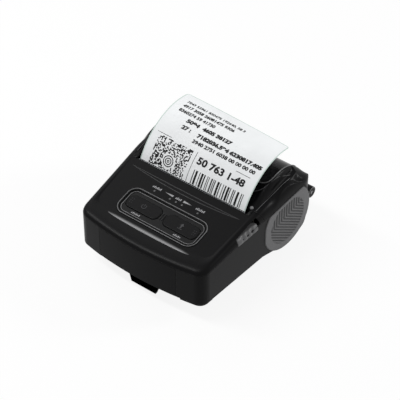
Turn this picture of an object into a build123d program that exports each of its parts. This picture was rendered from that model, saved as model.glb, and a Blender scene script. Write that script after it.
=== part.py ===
from build123d import *
from math import asin, atan, atan2, cos, degrees, hypot, pi, radians, sin, sqrt, tan
import os

os.makedirs("parts", exist_ok=True)

# Portable label printer. Millimetres. +X is the lever side, -Y the battery end, +Z up.
# The origin is under the middle of the object, at the height of the belt clip's lowest edge.

# Paper
label_width = 112.0
label_thickness = 0.2
roll_radius = 27.5
core_radius = 11.0
core_wall = 1.5
label_arc_radius = 56.4
label_arc_turn = 82.0
bend_radius = 30.0

# Casing, measured from its front face and from its flat underside, the deck
clip_drop = 20.0
hinge_run = 158.6
barrel_radius = 5.3
seam_height = 32.0
seam_slope = 0.11
fold_run = 16.0
fold_rise = 6.3
panel_slope = 0.187
slot_run = 78.4
drum_run = 120.0
drum_height = 32.0
drum_radius = 34.5
drum_half = 63.0
belly_height = 27.0
belly_start_run = 85.0
front_half = 66.0
flare = 0.0615
crease_inset = 7.2
bow_rise = 6.6
front_corner = 11.0
rear_corner = 14.0
wall = 2.2
shell_gap = 0.3
fit = 0.3

# Battery
pack_half = 40.8
panel_thickness = 6.5
cell_radius = 9.2
cell_length = 65.0
cell_rows = 2
case_wall = 1.6

# Printing line
platen_radius = 5.0
platen_shaft_radius = 2.5
paper_gap = 0.15
nip_tilt = 10.0
platen_height = 37.6
head_half = 54.0
head_thickness = 1.0
sink_thickness = 4.0
bearing_radius = 4.0

# Gears
gear_module = 0.7
platen_teeth = 16
idler_teeth = 34
pinion_teeth = 12
gear_width = 3.6
gear_play = 0.1
tooth_slack = 0.1
motor_angle = 200.0
motor_radius = 9.5
motor_length = 28.0
frame_side_gap = 5.8
frame_half = front_half - frame_side_gap
frame_thickness = 1.2

# Roll holders
holder_travel = 6.0
holder_thickness = 2.8
hub_length = 5.0

# Controls
button_length = 34.6
button_width = 14.0
button_spacing = 40.0
button_round = 5.2
button_travel = 0.8
button_run = 37.4
bezel_length = 84.0
bezel_width = 30.0
bezel_round = 9.5
bezel_run = 36.6
rim_width = 1.5
rim_rise = 0.5
bezel_depth = 0.9
bezel_plate = 2.4
lamp_radius = 0.9
lamp_run = 55.4
lamp_places = (-23.0, -6.4, 0.0, 6.4, 23.0)

# Lever
lever_front_run = 50.6
lever_rear_run = 77.4
lever_height = 4.8
lever_inner = 62.0
lever_gap = 2.6
lever_skin = 2.6
latch_angle = 3.0
latch_run = 63.5
latch_height = 30.5
latch_shaft_radius = 2.0

# Side pads
pad_run = 87.0
pad_centre_run = 117.0
pad_centre_height = 22.0
pad_radius = 31.0
pad_proud = 0.7
pad_depth = 1.3

# Belt clip
clip_width = 33.0
clip_lip_width = 26.4
clip_lip_run = 9.5
clip_pivot_run = 52.0
clip_thickness = 2.2
belt_gap = 5.0

# Hinge
pin_radius = 1.6
running_fit = 0.05
knuckle_end = 70.0
lid_knuckle = 19.0
housing_knuckle = 18.0

# Places worked out from the sizes above
length = hinge_run + barrel_radius
front_y = -length / 2
deck = clip_drop
fold_y = front_y + fold_run
fold_z = deck + seam_height + fold_rise
slot_y = front_y + slot_run
drum_y = front_y + drum_run
drum_z = deck + drum_height
belly_z = deck + belly_height
rear_y = drum_y + drum_radius
hinge_y = front_y + hinge_run
hinge_z = deck + 21.0
corner_y = front_y + bow_rise
roof_z = drum_z + drum_radius
panel_angle = atan(panel_slope)


def half_width(y):
    """Half the casing's width at the seam, which flares towards the rear."""
    return front_half + flare * (y - corner_y)


def seam_z(y):
    """Height of the seam between the lower and the upper shells."""
    return deck + seam_height + seam_slope * (y - front_y)


def panel_z(y):
    """Height of the sloping control panel's surface."""
    return fold_z + panel_slope * (y - fold_y)


def sloped_plane(y, z, slope):
    """A plane through (y, z) that rises towards the rear."""
    return Plane(origin=(0, y, z), x_dir=(1, 0, 0), z_dir=(0, -slope, 1))


def on_panel(y, depth=0.0):
    """A plane parallel to the panel, under the point at y, sunk by depth."""
    return Plane(
        origin=(0, y + depth * sin(panel_angle), panel_z(y) - depth * cos(panel_angle)),
        x_dir=(1, 0, 0),
        z_dir=(0, -panel_slope, 1),
    )


def tangent_point(start, centre, radius, side):
    """Where a line from start touches a circle; side is +1 for its upper tangent, -1 for its lower."""
    reach = hypot(centre[0] - start[0], centre[1] - start[1])
    run = sqrt(reach**2 - radius**2)
    angle = atan2(centre[1] - start[1], centre[0] - start[0]) + side * asin(radius / reach)
    return (start[0] + run * cos(angle), start[1] + run * sin(angle))


def footprint(apex_y, z, slope, inset, end_y, front_round, rear_round):
    """The casing's outline seen from above, on a plane through (apex_y, z) that rises with slope."""
    stretch = sqrt(1 + slope**2)
    near_y = apex_y + bow_rise
    near = half_width(near_y) - inset
    far = half_width(end_y) - inset
    near_v = bow_rise * stretch
    far_v = (end_y - apex_y) * stretch
    with BuildSketch(sloped_plane(apex_y, z, slope)) as shape:
        with BuildLine():
            ThreePointArc((-near, near_v), (0, 0), (near, near_v))
            Polyline((near, near_v), (far, far_v), (-far, far_v), (-near, near_v))
        make_face()
        corners = shape.vertices().sort_by(Axis.Y)
        fillet(corners[:2], front_round)
        fillet(shape.vertices().sort_by(Axis.Y)[-2:], rear_round)
    return shape.sketch


def side_outline(inset):
    """The casing seen from the side: flat deck, ramp to the round belly, round rear, open front."""
    radius = drum_radius - inset
    bottom = deck + inset
    start = (front_y + belly_start_run, bottom)
    touch = tangent_point(start, (drum_y, belly_z), radius, -1)
    with BuildSketch(Plane.YZ) as shape:
        with BuildLine():
            Polyline((drum_y, roof_z - inset), (front_y - 5, roof_z - inset), (front_y - 5, bottom),
                     start, touch)
            ThreePointArc(touch, (drum_y + radius * cos(radians(-45)), belly_z + radius * sin(radians(-45))),
                          (drum_y + radius, belly_z))
            Line((drum_y + radius, belly_z), (drum_y + radius, drum_z))
            ThreePointArc((drum_y + radius, drum_z),
                          (drum_y + radius * cos(radians(45)), drum_z + radius * sin(radians(45))),
                          (drum_y, drum_z + radius))
        make_face()
    return shape.sketch


def envelope(inset):
    """The casing's closed outer form without the drum, drawn in by inset all round."""
    crease_y = fold_y + inset
    bulge_slope = (seam_slope + panel_slope) / 2
    end_y = rear_y - inset
    round_rear = rear_corner - inset
    low = footprint(front_y + inset, deck + seam_height + seam_slope * inset, seam_slope, inset, end_y,
                    front_corner - inset, round_rear)
    bulge = footprint(front_y + 2.3 + inset, deck + seam_height + 3.6 - 0.8 * inset, bulge_slope,
                      crease_inset * 0.22 + inset, end_y, front_corner - inset, round_rear)
    top = footprint(crease_y, panel_z(crease_y) - inset / cos(panel_angle), panel_slope,
                    crease_inset + inset, end_y, front_corner - 2.5 - inset, round_rear)
    side = side_outline(inset)
    with BuildPart() as form:
        loft(sections=[low, bulge, top])
        extrude(low, amount=seam_height + 80.0, dir=(0, 0, -1))
        extrude(side, amount=knuckle_end + 40.0, both=True, mode=Mode.INTERSECT)
    return form.part


cover_edge_y = slot_y + 2.4
lid_front_y = slot_y + 2.7
lid_front_z = panel_z(lid_front_y) + 0.4
seam_foot_y = slot_y + 6.6
ear_y = front_y + pad_centre_run
ear_z = deck + pad_centre_height
ear_radius = pad_radius + 1.2
lid_tail_z = deck + 24.0


def ear_seam_angle(ear, gap):
    """The angle, about the pad's centre, at which the seam meets the ear's round edge."""
    rise = seam_z(ear_y) + gap - ear_z
    tilt = atan(seam_slope)
    return tilt + asin(rise * cos(tilt) / ear)


def drum(inset):
    """The roll's round cover on the lid, with its ramp up from the paper slot."""
    radius = drum_radius - inset
    start = (lid_front_y + inset, lid_front_z - inset)
    touch = tangent_point(start, (drum_y, drum_z), radius, 1)
    with BuildPart() as form:
        with BuildSketch(Plane.YZ):
            with BuildLine():
                Line(start, touch)
                ThreePointArc(touch, (drum_y + radius * cos(radians(60)), drum_z + radius * sin(radians(60))),
                              (drum_y + radius, drum_z))
                Polyline((drum_y + radius, drum_z), (drum_y + radius, belly_z),
                         (lid_front_y + inset, belly_z), start)
            make_face()
        extrude(amount=drum_half - inset, both=True)
        if inset == 0:
            ends = form.faces().filter_by(Axis.X)
            fillet(ends.edges().filter_by(lambda e: e.center().Z > lid_front_z + 1.0), 4.0)
    return form.part


def lid_side(gap, rear):
    """The side view of the lid's region, drawn back by gap from the shells that it closes on."""
    ear = ear_radius + gap
    tail_angle = asin((lid_tail_z + gap - ear_z) / ear)
    end_angle = ear_seam_angle(ear, gap)
    end = (ear_y + ear * cos(end_angle), ear_z + ear * sin(end_angle))
    tail = (ear_y + ear * cos(tail_angle), lid_tail_z + gap)
    middle = (end_angle + tail_angle) / 2
    with BuildSketch(Plane.YZ) as shape:
        with BuildLine():
            Polyline(tail, (rear, lid_tail_z + gap), (rear, roof_z + 30),
                     (cover_edge_y + gap, roof_z + 30), (cover_edge_y + gap, panel_z(cover_edge_y)),
                     (seam_foot_y + gap, seam_z(seam_foot_y) + gap), end)
            ThreePointArc(end, (ear_y + ear * cos(middle), ear_z + ear * sin(middle)), tail)
        make_face()
    return shape.sketch


outer_form = envelope(0.0)
inner_form = envelope(wall)
far = 200.0
latch_play = 1.0
neck_reach = 1.54
idler_pin_radius = 1.5
seam_gap = 0.25


def cover_side(gap):
    """The side view of the top cover's region, from the seam up and forward of the paper slot."""
    with BuildSketch(Plane.YZ) as shape:
        with BuildLine():
            Polyline(
                (front_y - 5, seam_z(front_y - 5) + gap), (seam_foot_y, seam_z(seam_foot_y) + gap),
                (cover_edge_y, panel_z(cover_edge_y)), (cover_edge_y, roof_z + 30),
                (front_y - 5, roof_z + 30), close=True,
            )
        make_face()
    return shape.sketch


# The paper's path: the nip, a bend and the free arc above the lid
tilt = radians(nip_tilt)
slot_lean = atan2(25.1, 50.5)
web_y = slot_y - 1.0
web_z = panel_z(slot_y) - 0.2
arc_y = web_y + label_arc_radius * cos(slot_lean)
arc_z = web_z - label_arc_radius * sin(slot_lean)
bend_y = web_y - bend_radius * (cos(tilt) - cos(slot_lean))
bend_z = web_z - bend_radius * (sin(slot_lean) - sin(tilt))
nip_z = deck + platen_height + 0.9
nip_y = bend_y - (bend_z - nip_z) * tan(tilt)
platen_reach = platen_radius + paper_gap + label_thickness / 2
platen_y = nip_y + platen_reach * cos(tilt)
platen_z = nip_z - platen_reach * sin(tilt)


def at_nip(rise, back):
    """A point in the side view, rise along the paper from the nip and back towards the print head."""
    return (nip_y + rise * sin(tilt) - back * cos(tilt), nip_z + rise * cos(tilt) + back * sin(tilt))


def arc_points(centre, radius, start, end, count):
    """Points along an arc, its angles in degrees."""
    steps = [start + (end - start) * n / count for n in range(count + 1)]
    return [(centre[0] + radius * cos(radians(a)), centre[1] + radius * sin(radians(a))) for a in steps]


# Opening direction of the platen, square to the line from the hinge
lift_reach = hypot(platen_y - hinge_y, platen_z - hinge_z)
lift = ((platen_z - hinge_z) / lift_reach, (hinge_y - platen_y) / lift_reach)
platen_pitch = gear_module * platen_teeth / 2
idler_pitch = gear_module * idler_teeth / 2
pinion_pitch = gear_module * pinion_teeth / 2
idler_y = platen_y - (platen_pitch + idler_pitch + gear_play) * lift[0]
idler_z = platen_z - (platen_pitch + idler_pitch + gear_play) * lift[1]
motor_reach = idler_pitch + pinion_pitch + gear_play
motor_y = idler_y + motor_reach * cos(radians(motor_angle))
motor_z = idler_z + motor_reach * sin(radians(motor_angle))
latch_y = front_y + latch_run
latch_z = deck + latch_height
screw_inset = 13.0
screw_x = front_half - screw_inset
screw_places = [(side * screw_x, front_y + run) for side in (-1, 1) for run in (22.0, 44.0)]


def pad_side(grow):
    """The side pad's outline seen from the side, grown all round."""
    with BuildSketch(Plane.YZ) as shape:
        with Locations((ear_y, ear_z)):
            Circle(pad_radius + grow)
        with BuildLine():
            Polyline(
                (front_y + pad_run - grow, seam_z(front_y + pad_run) - 1.6 + grow),
                (ear_y + 60, seam_z(ear_y + 60) - 1.6 + grow), (ear_y + 60, deck - 60),
                (front_y + pad_run - grow, deck - 60), close=True,
            )
        make_face(mode=Mode.INTERSECT)
    return shape.sketch


pad_rim = 2.0
pad_slit = 0.25
pad_floor = envelope(pad_depth)
pad_face = envelope(-pad_proud)
with BuildPart() as pad_pocket:
    add(pad_face)
    add(pad_floor, mode=Mode.SUBTRACT)
    extrude(pad_side(0.0), amount=far, both=True, mode=Mode.INTERSECT)
    extrude(side_outline(pad_rim), amount=far, both=True, mode=Mode.INTERSECT)

for side_name, side_sign in (("left", -1), ("right", 1)):
    with BuildPart() as side_pad:
        add(pad_face)
        add(pad_floor, mode=Mode.SUBTRACT)
        extrude(pad_side(-pad_slit), amount=far, both=True, mode=Mode.INTERSECT)
        extrude(side_outline(pad_rim + pad_slit), amount=far, both=True, mode=Mode.INTERSECT)
        split(bisect_by=Plane.YZ, keep=Keep.TOP if side_sign > 0 else Keep.BOTTOM)
    side_pad.part.label = f"side_pad_{side_name}"
    export_step(side_pad.part, f"parts/side_pad_{side_name}.step")

# Hinge knuckles, from the outer ends inwards
lid_knuckle_start = knuckle_end - lid_knuckle
housing_knuckle_end = lid_knuckle_start - fit
housing_knuckle_start = housing_knuckle_end - housing_knuckle


def barrels(start, end, radius, neck_low=0.0, neck_high=0.0):
    """Two cylinders on the hinge's axis, one each side of the middle, with necks to the rear wall."""
    neck_front = rear_y - neck_reach
    with BuildSketch(Plane.YZ) as side:
        with Locations((hinge_y, hinge_z)):
            Circle(radius)
        if neck_high > neck_low:
            with Locations(((neck_front + hinge_y) / 2, (neck_low + neck_high) / 2)):
                Rectangle(hinge_y - neck_front, neck_high - neck_low)
    with BuildPart() as form:
        for sign in (-1, 1):
            with Locations((sign * (start + end) / 2, 0, 0)):
                add(extrude(side.sketch, amount=(end - start) / 2, both=True, mode=Mode.PRIVATE))
    return form.part


port_y = front_y + 46.0
jack_y = front_y + 30.0
port_z = deck + 12.0
jack_bore = 2.8
jack_mouth = 4.2
jack_size = 9.5
jack_length = 8.0
jack_x = -(half_width(jack_y - jack_size / 2) - wall - 0.1)
flap_length = 15.0
flap_height = 10.0
flap_thickness = 1.2
flap_pin_y = port_y - flap_length / 2 - 1.6
flap_pin_x = -(half_width(flap_pin_y) + 1.3)

# Lower shell: the tub that holds everything
with BuildPart() as lower_housing:
    add(outer_form)
    for knuckle in barrels(housing_knuckle_start, housing_knuckle_end, barrel_radius,
                           hinge_z - barrel_radius + 0.6, hinge_z + 1.2).solids():
        add(knuckle)
    add(inner_form, mode=Mode.SUBTRACT)
    extrude(cover_side(0.0), amount=far, both=True, mode=Mode.SUBTRACT)
    extrude(lid_side(0.0, rear_y + 0.5), amount=far, both=True, mode=Mode.SUBTRACT)
    add(pad_pocket.part, mode=Mode.SUBTRACT)
    with BuildSketch(Plane.XY.offset(deck - 1)):
        with Locations((0, front_y + panel_thickness / 2)):
            Rectangle(2 * (pack_half + fit), panel_thickness + 2 * fit)
    extrude(amount=far, mode=Mode.SUBTRACT)
    with BuildSketch(Plane.XY.offset(deck)):
        with Locations(*screw_places):
            Circle(3.2)
    extrude(amount=seam_height)
    with BuildSketch(Plane.XY.offset(deck - 1)):
        with Locations(*screw_places):
            Circle(1.1)
    extrude(amount=seam_height + 5, mode=Mode.SUBTRACT)
    with BuildSketch(Plane.XY.offset(deck - 1)):
        with Locations(*screw_places):
            Circle(2.6)
    extrude(amount=1 + 2.4, mode=Mode.SUBTRACT)
    add(barrels(lid_knuckle_start - fit, knuckle_end + 5, barrel_radius + 0.5), mode=Mode.SUBTRACT)
    add(barrels(housing_knuckle_start - 1, housing_knuckle_end + 1, pin_radius + running_fit),
        mode=Mode.SUBTRACT)
    with BuildSketch(Plane.YZ.offset(-far)):
        with Locations((jack_y, port_z)):
            Circle(jack_mouth)
        with Locations((port_y, port_z)):
            RectangleRounded(10.0, 4.2, 1.6)
    extrude(amount=far - front_half + 8.0, mode=Mode.SUBTRACT)
lower_housing.part.label = "lower_housing"
export_step(lower_housing.part, "parts/lower_housing.step")

# Control panel pieces, placed on planes parallel to the panel
bezel_y = front_y + bezel_run
button_y = front_y + button_run
lamp_y = front_y + lamp_run
button_shift = (button_y - bezel_y) / cos(panel_angle)
lamp_shift = (lamp_y - bezel_y) / cos(panel_angle)

# Paper slot between the cover's lip and the lid
slot_half = label_width / 2 + 2.4
lip_gap = 1.0
slot_reach = 14.0
corner_lean = radians(12.0)
corner_reach = 1.0
corner_x = frame_half + frame_thickness + 0.5


def slot_side():
    """The side view of the slot's opening behind the cover's lip, parallel to the paper."""
    drop = slot_reach * cos(slot_lean)
    back = slot_reach * sin(slot_lean)
    with BuildSketch(Plane.YZ) as shape:
        with BuildLine():
            Polyline((web_y - lip_gap - back, web_z - drop), (web_y + 30, web_z - drop),
                     (web_y + 30, web_z + drop), (web_y - lip_gap + back, web_z + drop), close=True)
        make_face()
    return shape.sketch


def corner_side(gap):
    """The side view of the lid's front corners, which lift with the roller's ends through the cover."""
    top = roof_z + 30
    rear = seam_foot_y + 1.5

    def front(z):
        return web_y - lip_gap - corner_reach + gap + (z - web_z) * tan(corner_lean)

    foot = front(seam_z(web_y))
    with BuildSketch(Plane.YZ) as shape:
        with BuildLine():
            Polyline((foot, seam_z(foot) + gap), (rear, seam_z(rear) + gap), (rear, top), (front(top), top),
                     close=True)
        make_face()
    return shape.sketch


def corners(gap):
    """The two corner regions: all of the left side, and as far as the roller's end on the right."""
    side = corner_side(gap)
    with BuildPart() as form:
        extrude(side.moved(Location((-slot_half - gap, 0, 0))), amount=-far)
        extrude(side.moved(Location((slot_half + gap, 0, 0))), amount=corner_x - slot_half - 2 * gap)
    return form.part


def lever_side(grow, front_play=0.0, sink=0.0, rise=0.0):
    """The open lever's outline in the side view, grown all round and more where its ends swing."""
    front = front_y + lever_front_run - grow - front_play
    rear = front_y + lever_rear_run + grow
    with BuildSketch(Plane.YZ.offset(lever_inner - grow)) as shape:
        with BuildLine():
            Polyline(
                (front, seam_z(front) + lever_gap - grow - sink),
                (rear + 2.2, seam_z(rear) + lever_gap - grow - sink),
                (rear, seam_z(rear) + lever_gap + lever_height + grow + rise),
                (front + 1.5, seam_z(front) + lever_gap + lever_height - 1.4 + grow), close=True,
            )
        made = make_face()
        fillet(made.vertices(), 1.2)
    return shape.sketch


# How far the lever's front end sinks and its rear end rises at full turn
latch_sink = (latch_run - lever_front_run) * sin(radians(latch_angle))
latch_rise = (lever_rear_run + 2.2 - latch_run) * sin(radians(latch_angle))

# Upper front shell: nose, sloping control panel and the slot's front lip
with BuildPart() as top_cover:
    add(outer_form)
    add(inner_form, mode=Mode.SUBTRACT)
    extrude(cover_side(seam_gap), amount=far, both=True, mode=Mode.INTERSECT)
    extrude(slot_side(), amount=slot_half + fit, both=True, mode=Mode.SUBTRACT)
    add(corners(0.0), mode=Mode.SUBTRACT)
    with BuildSketch(on_panel(bezel_y)):
        RectangleRounded(bezel_length + 2 * seam_gap, bezel_width + 2 * seam_gap, bezel_round + seam_gap)
    extrude(amount=10, both=True, mode=Mode.SUBTRACT)
    with BuildSketch(on_panel(lamp_y)):
        with Locations(*[(x, 0) for x in lamp_places]):
            Circle(lamp_radius + running_fit)
    extrude(amount=10, both=True, mode=Mode.SUBTRACT)
    extrude(lever_side(fit, latch_play, latch_sink, latch_rise), amount=far, mode=Mode.SUBTRACT)
    with BuildSketch(Plane.XY.offset(seam_z(front_y) + 0.6)):
        with Locations(*screw_places):
            Circle(3.0)
    extrude(until=Until.NEXT)
top_cover.part.label = "top_cover"
export_step(top_cover.part, "parts/top_cover.step")

# Control bezel: a plate with a raised rim round the two button wells
with BuildPart() as control_bezel:
    with BuildSketch(on_panel(bezel_y, bezel_depth)):
        RectangleRounded(bezel_length, bezel_width, bezel_round)
    extrude(amount=-bezel_plate)
    with BuildSketch(on_panel(bezel_y, bezel_depth)):
        RectangleRounded(bezel_length, bezel_width, bezel_round)
        RectangleRounded(bezel_length - 2 * rim_width, bezel_width - 2 * rim_width, bezel_round - rim_width,
                         mode=Mode.SUBTRACT)
    extrude(amount=bezel_depth + rim_rise)
    fillet(control_bezel.edges().group_by(Axis((0, 0, 0), (0, -panel_slope, 1)))[-1], 0.35)
    with BuildSketch(on_panel(bezel_y, bezel_depth)):
        with Locations((-button_spacing / 2, button_shift), (button_spacing / 2, button_shift)):
            RectangleRounded(button_length + 2 * fit, button_width + 2 * fit, button_round + fit)
    extrude(amount=10, both=True, mode=Mode.SUBTRACT)
    with BuildSketch(on_panel(bezel_y, bezel_depth)):
        with Locations((-1.1, button_shift), (1.1, button_shift)):
            SlotOverall(8.0, 0.8, rotation=90)
    extrude(amount=0.6)
control_bezel.part.label = "control_bezel"
export_step(control_bezel.part, "parts/control_bezel.step")

button_top = 0.1
button_skirt = 4.2
for button_name, button_x in (("power_button", -button_spacing / 2), ("feed_button", button_spacing / 2)):
    with BuildPart() as push_button:
        with BuildSketch(on_panel(button_y, button_top)):
            with Locations((button_x, 0)):
                RectangleRounded(button_length, button_width, button_round)
        extrude(amount=-button_skirt)
        fillet(push_button.faces().sort_by(Axis.Z)[-1].edges(), 0.9)
        with BuildSketch(on_panel(button_y, bezel_depth + bezel_plate + 0.2)):
            with Locations((button_x, 0)):
                RectangleRounded(button_length + 2.4, button_width + 2.4, button_round + 1.2)
        extrude(amount=button_top + bezel_depth + bezel_plate - button_skirt)
    push_button.part.label = button_name
    export_step(push_button.part, f"parts/{button_name}.step")

# Boards under the panel
board_drop = 1.6
board_z = deck + seam_height - board_drop
board_thickness = 1.4
key_depth = 5.9
with BuildPart() as key_board:
    with BuildSketch(on_panel(bezel_y, key_depth)):
        with Locations((0, lamp_shift / 2 - 4.0)):
            Rectangle(78.0, lamp_shift + 14.0)
    extrude(amount=-1.0)
key_board.part.label = "key_board"
export_step(key_board.part, "parts/key_board.step")

with BuildPart() as key_switches:
    with BuildSketch(on_panel(button_y, key_depth)):
        with Locations((-button_spacing / 2, 0), (button_spacing / 2, 0)):
            Rectangle(6.0, 6.0)
    extrude(amount=0.7)
key_switches.part.label = "key_switches"
export_step(key_switches.part, "parts/key_switches.step")

with BuildPart() as light_pipes:
    with BuildSketch(on_panel(lamp_y, key_depth)):
        with Locations(*[(x, 0) for x in lamp_places]):
            Circle(lamp_radius)
    extrude(amount=key_depth + 0.05)
light_pipes.part.label = "light_pipes"
export_step(light_pipes.part, "parts/light_pipes.step")

# Battery pack and its bay
case_depth = 2 * cell_rows * cell_radius + 0.4 * cell_rows + 2 * case_wall
case_height = 2 * cell_radius + 0.6 + 2 * case_wall
case_half = cell_length / 2 + case_wall + 3.0
case_front_y = front_y + panel_thickness
bay_skin = 1.2
case_z = deck + wall + bay_skin + fit
bay_rear_y = case_front_y + case_depth + fit

with BuildPart() as battery_face:
    add(outer_form)
    with BuildSketch(Plane.XY.offset(deck - 1)):
        with Locations((0, front_y + panel_thickness / 2 - 1)):
            Rectangle(2 * pack_half, panel_thickness + 2)
    extrude(amount=far, mode=Mode.INTERSECT)
    extrude(cover_side(-0.3), amount=far, both=True, mode=Mode.SUBTRACT)
battery_face.part.label = "battery_face"
export_step(battery_face.part, "parts/battery_face.step")

with BuildPart() as battery_case:
    with BuildSketch(Plane.XY.offset(case_z)):
        with Locations((0, case_front_y + case_depth / 2)):
            RectangleRounded(2 * case_half, case_depth, 2.0)
    extrude(amount=case_height)
    with BuildSketch(Plane.XY.offset(case_z + case_wall)):
        with Locations((0, case_front_y + case_depth / 2)):
            Rectangle(2 * (case_half - case_wall), case_depth - 2 * case_wall)
    extrude(amount=case_height - 2 * case_wall, mode=Mode.SUBTRACT)
battery_case.part.label = "battery_case"
export_step(battery_case.part, "parts/battery_case.step")

with BuildPart() as battery_cells:
    for row in range(cell_rows):
        cell_y = case_front_y + case_wall + cell_radius + 0.2 + row * (2 * cell_radius + 0.4)
        with BuildSketch(Plane.YZ.offset(-cell_length / 2)):
            with Locations((cell_y, case_z + case_wall + cell_radius + 0.05)):
                Circle(cell_radius)
        extrude(amount=cell_length)
battery_cells.part.label = "battery_cells"
export_step(battery_cells.part, "parts/battery_cells.step")

bay_top = case_z + case_height + fit + bay_skin
with BuildPart() as battery_bay:
    bay_depth = bay_rear_y + bay_skin - case_front_y - 1.0
    with BuildSketch(Plane.XY.offset(deck + wall)):
        with Locations((0, case_front_y + 1.0 + bay_depth / 2)):
            Rectangle(2 * (case_half + fit + bay_skin), bay_depth)
    extrude(amount=bay_top - deck - wall)
    with BuildSketch(Plane.XY.offset(deck + wall + bay_skin)):
        with Locations((0, bay_rear_y - 50)):
            Rectangle(2 * (case_half + fit), 100)
    extrude(amount=case_height + 2 * fit, mode=Mode.SUBTRACT)
    with BuildSketch(Plane.XZ.offset(-bay_rear_y + 1)):
        with Locations((0, case_z + case_height / 2)):
            Rectangle(34.0, 8.0)
    extrude(amount=-10, mode=Mode.SUBTRACT)
    with BuildSketch(Plane.XY.offset(bay_top)):
        with GridLocations(2 * (case_half - 4), bay_depth - 8, 2, 2):
            with Locations((0, case_front_y + 1.0 + bay_depth / 2)):
                Circle(2.2)
    extrude(amount=board_z - bay_top)
battery_bay.part.label = "battery_bay"
export_step(battery_bay.part, "parts/battery_bay.step")

with BuildPart() as battery_contacts:
    with BuildSketch(Plane.XZ.offset(-bay_rear_y)):
        with Locations(*[(x, case_z + case_height / 2) for x in (-12.0, -4.0, 4.0, 12.0)]):
            Rectangle(3.0, 5.0)
    extrude(amount=-2.4)
    with BuildSketch(Plane.XZ.offset(-bay_rear_y - 1.6)):
        with Locations((0, case_z + case_height / 2)):
            Rectangle(33.4, 7.4)
    extrude(amount=-2.0)
battery_contacts.part.label = "battery_contacts"
export_step(battery_contacts.part, "parts/battery_contacts.step")

board_front = front_y + 9.0
board_rear = front_y + 56.0
with BuildPart() as main_board:
    with BuildSketch(Plane.XY.offset(board_z)):
        with Locations((0, (board_front + board_rear) / 2)):
            Rectangle(90.0, board_rear - board_front)
    extrude(amount=board_thickness)
main_board.part.label = "main_board"
export_step(main_board.part, "parts/main_board.step")

with BuildPart() as board_parts:
    with BuildSketch(Plane.XY.offset(board_z + board_thickness)):
        with Locations((-26, board_rear - 12), (2, board_rear - 14)):
            Rectangle(13, 13)
        with Locations((28, board_rear - 12)):
            Rectangle(20, 9)
        with Locations(*[(-40 + 9 * n, board_rear - 24) for n in range(8)]):
            Rectangle(3.2, 2.0)
    extrude(amount=1.2)
board_parts.part.label = "board_parts"
export_step(board_parts.part, "parts/board_parts.step")

# Sockets behind the left wall
with BuildPart() as charge_jack:
    with BuildSketch(Plane.YZ.offset(jack_x)):
        with Locations((jack_y, port_z)):
            Rectangle(jack_size, jack_size)
    extrude(amount=jack_length)
    with BuildSketch(Plane.YZ.offset(jack_x)):
        with Locations((jack_y, port_z)):
            Circle(jack_bore)
    extrude(amount=jack_length - 2.0, mode=Mode.SUBTRACT)
charge_jack.part.label = "charge_jack"
export_step(charge_jack.part, "parts/charge_jack.step")

usb_x = -(half_width(port_y - 4.5) - wall - 0.1)
with BuildPart() as data_socket:
    with BuildSketch(Plane.YZ.offset(usb_x)):
        with Locations((port_y, port_z)):
            RectangleRounded(9.0, 3.3, 1.2)
    extrude(amount=8.0)
    with BuildSketch(Plane.YZ.offset(usb_x)):
        with Locations((port_y, port_z)):
            RectangleRounded(8.4, 2.7, 1.0)
            Rectangle(6.6, 0.7, mode=Mode.SUBTRACT)
    extrude(amount=6.6, mode=Mode.SUBTRACT)
data_socket.part.label = "data_socket"
export_step(data_socket.part, "parts/data_socket.step")

# Rubber flap over the data socket, on an upright pin at its front end
flap_plane = Plane(origin=(-(half_width(port_y) + 0.15), port_y, port_z), x_dir=(-flare, 1, 0),
                   z_dir=(-1, -flare, 0))
with BuildPart() as port_cover:
    with BuildSketch(flap_plane):
        RectangleRounded(flap_length, flap_height, 2.5)
    extrude(amount=flap_thickness)
    with BuildSketch(Plane.XY.offset(port_z - 3.0)):
        with Locations((flap_pin_x, flap_pin_y)):
            Circle(1.1)
        with Locations((flap_pin_x + 0.1, flap_pin_y + 1.6)):
            Rectangle(0.9, 3.2)
    extrude(amount=6.0)
    with BuildSketch(Plane.XY.offset(port_z - 10)):
        with Locations((flap_pin_x, flap_pin_y)):
            Circle(0.55)
    extrude(amount=20, mode=Mode.SUBTRACT)
port_cover.part.label = "port_cover"
export_step(port_cover.part, "parts/port_cover.step")

with BuildPart() as port_hinge:
    for low, high in ((-5.2, -3.2), (3.2, 5.2)):
        with BuildSketch(Plane.XY.offset(port_z + low)):
            with Locations((flap_pin_x, flap_pin_y)):
                Circle(1.1)
            with Locations((flap_pin_x + 0.55, flap_pin_y)):
                Rectangle(1.3, 2.0)
        extrude(amount=high - low)
    with BuildSketch(Plane.XY.offset(port_z - 5.2)):
        with Locations((flap_pin_x, flap_pin_y)):
            Circle(0.5)
    extrude(amount=10.4)
port_hinge.part.label = "port_hinge"
export_step(port_hinge.part, "parts/port_hinge.step")

# Print frame: two side plates with open bearing slots, joined by a bar behind the print head
bar_near = 8.4


def nip_block(low, high, near, back):
    """A rectangle in the side view, set by its run along the paper and its reach behind the nip."""
    with BuildSketch(Plane.YZ) as shape:
        with BuildLine():
            Polyline(at_nip(low, near), at_nip(high, near), at_nip(high, back), at_nip(low, back), close=True)
        make_face()
    return shape.sketch


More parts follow.
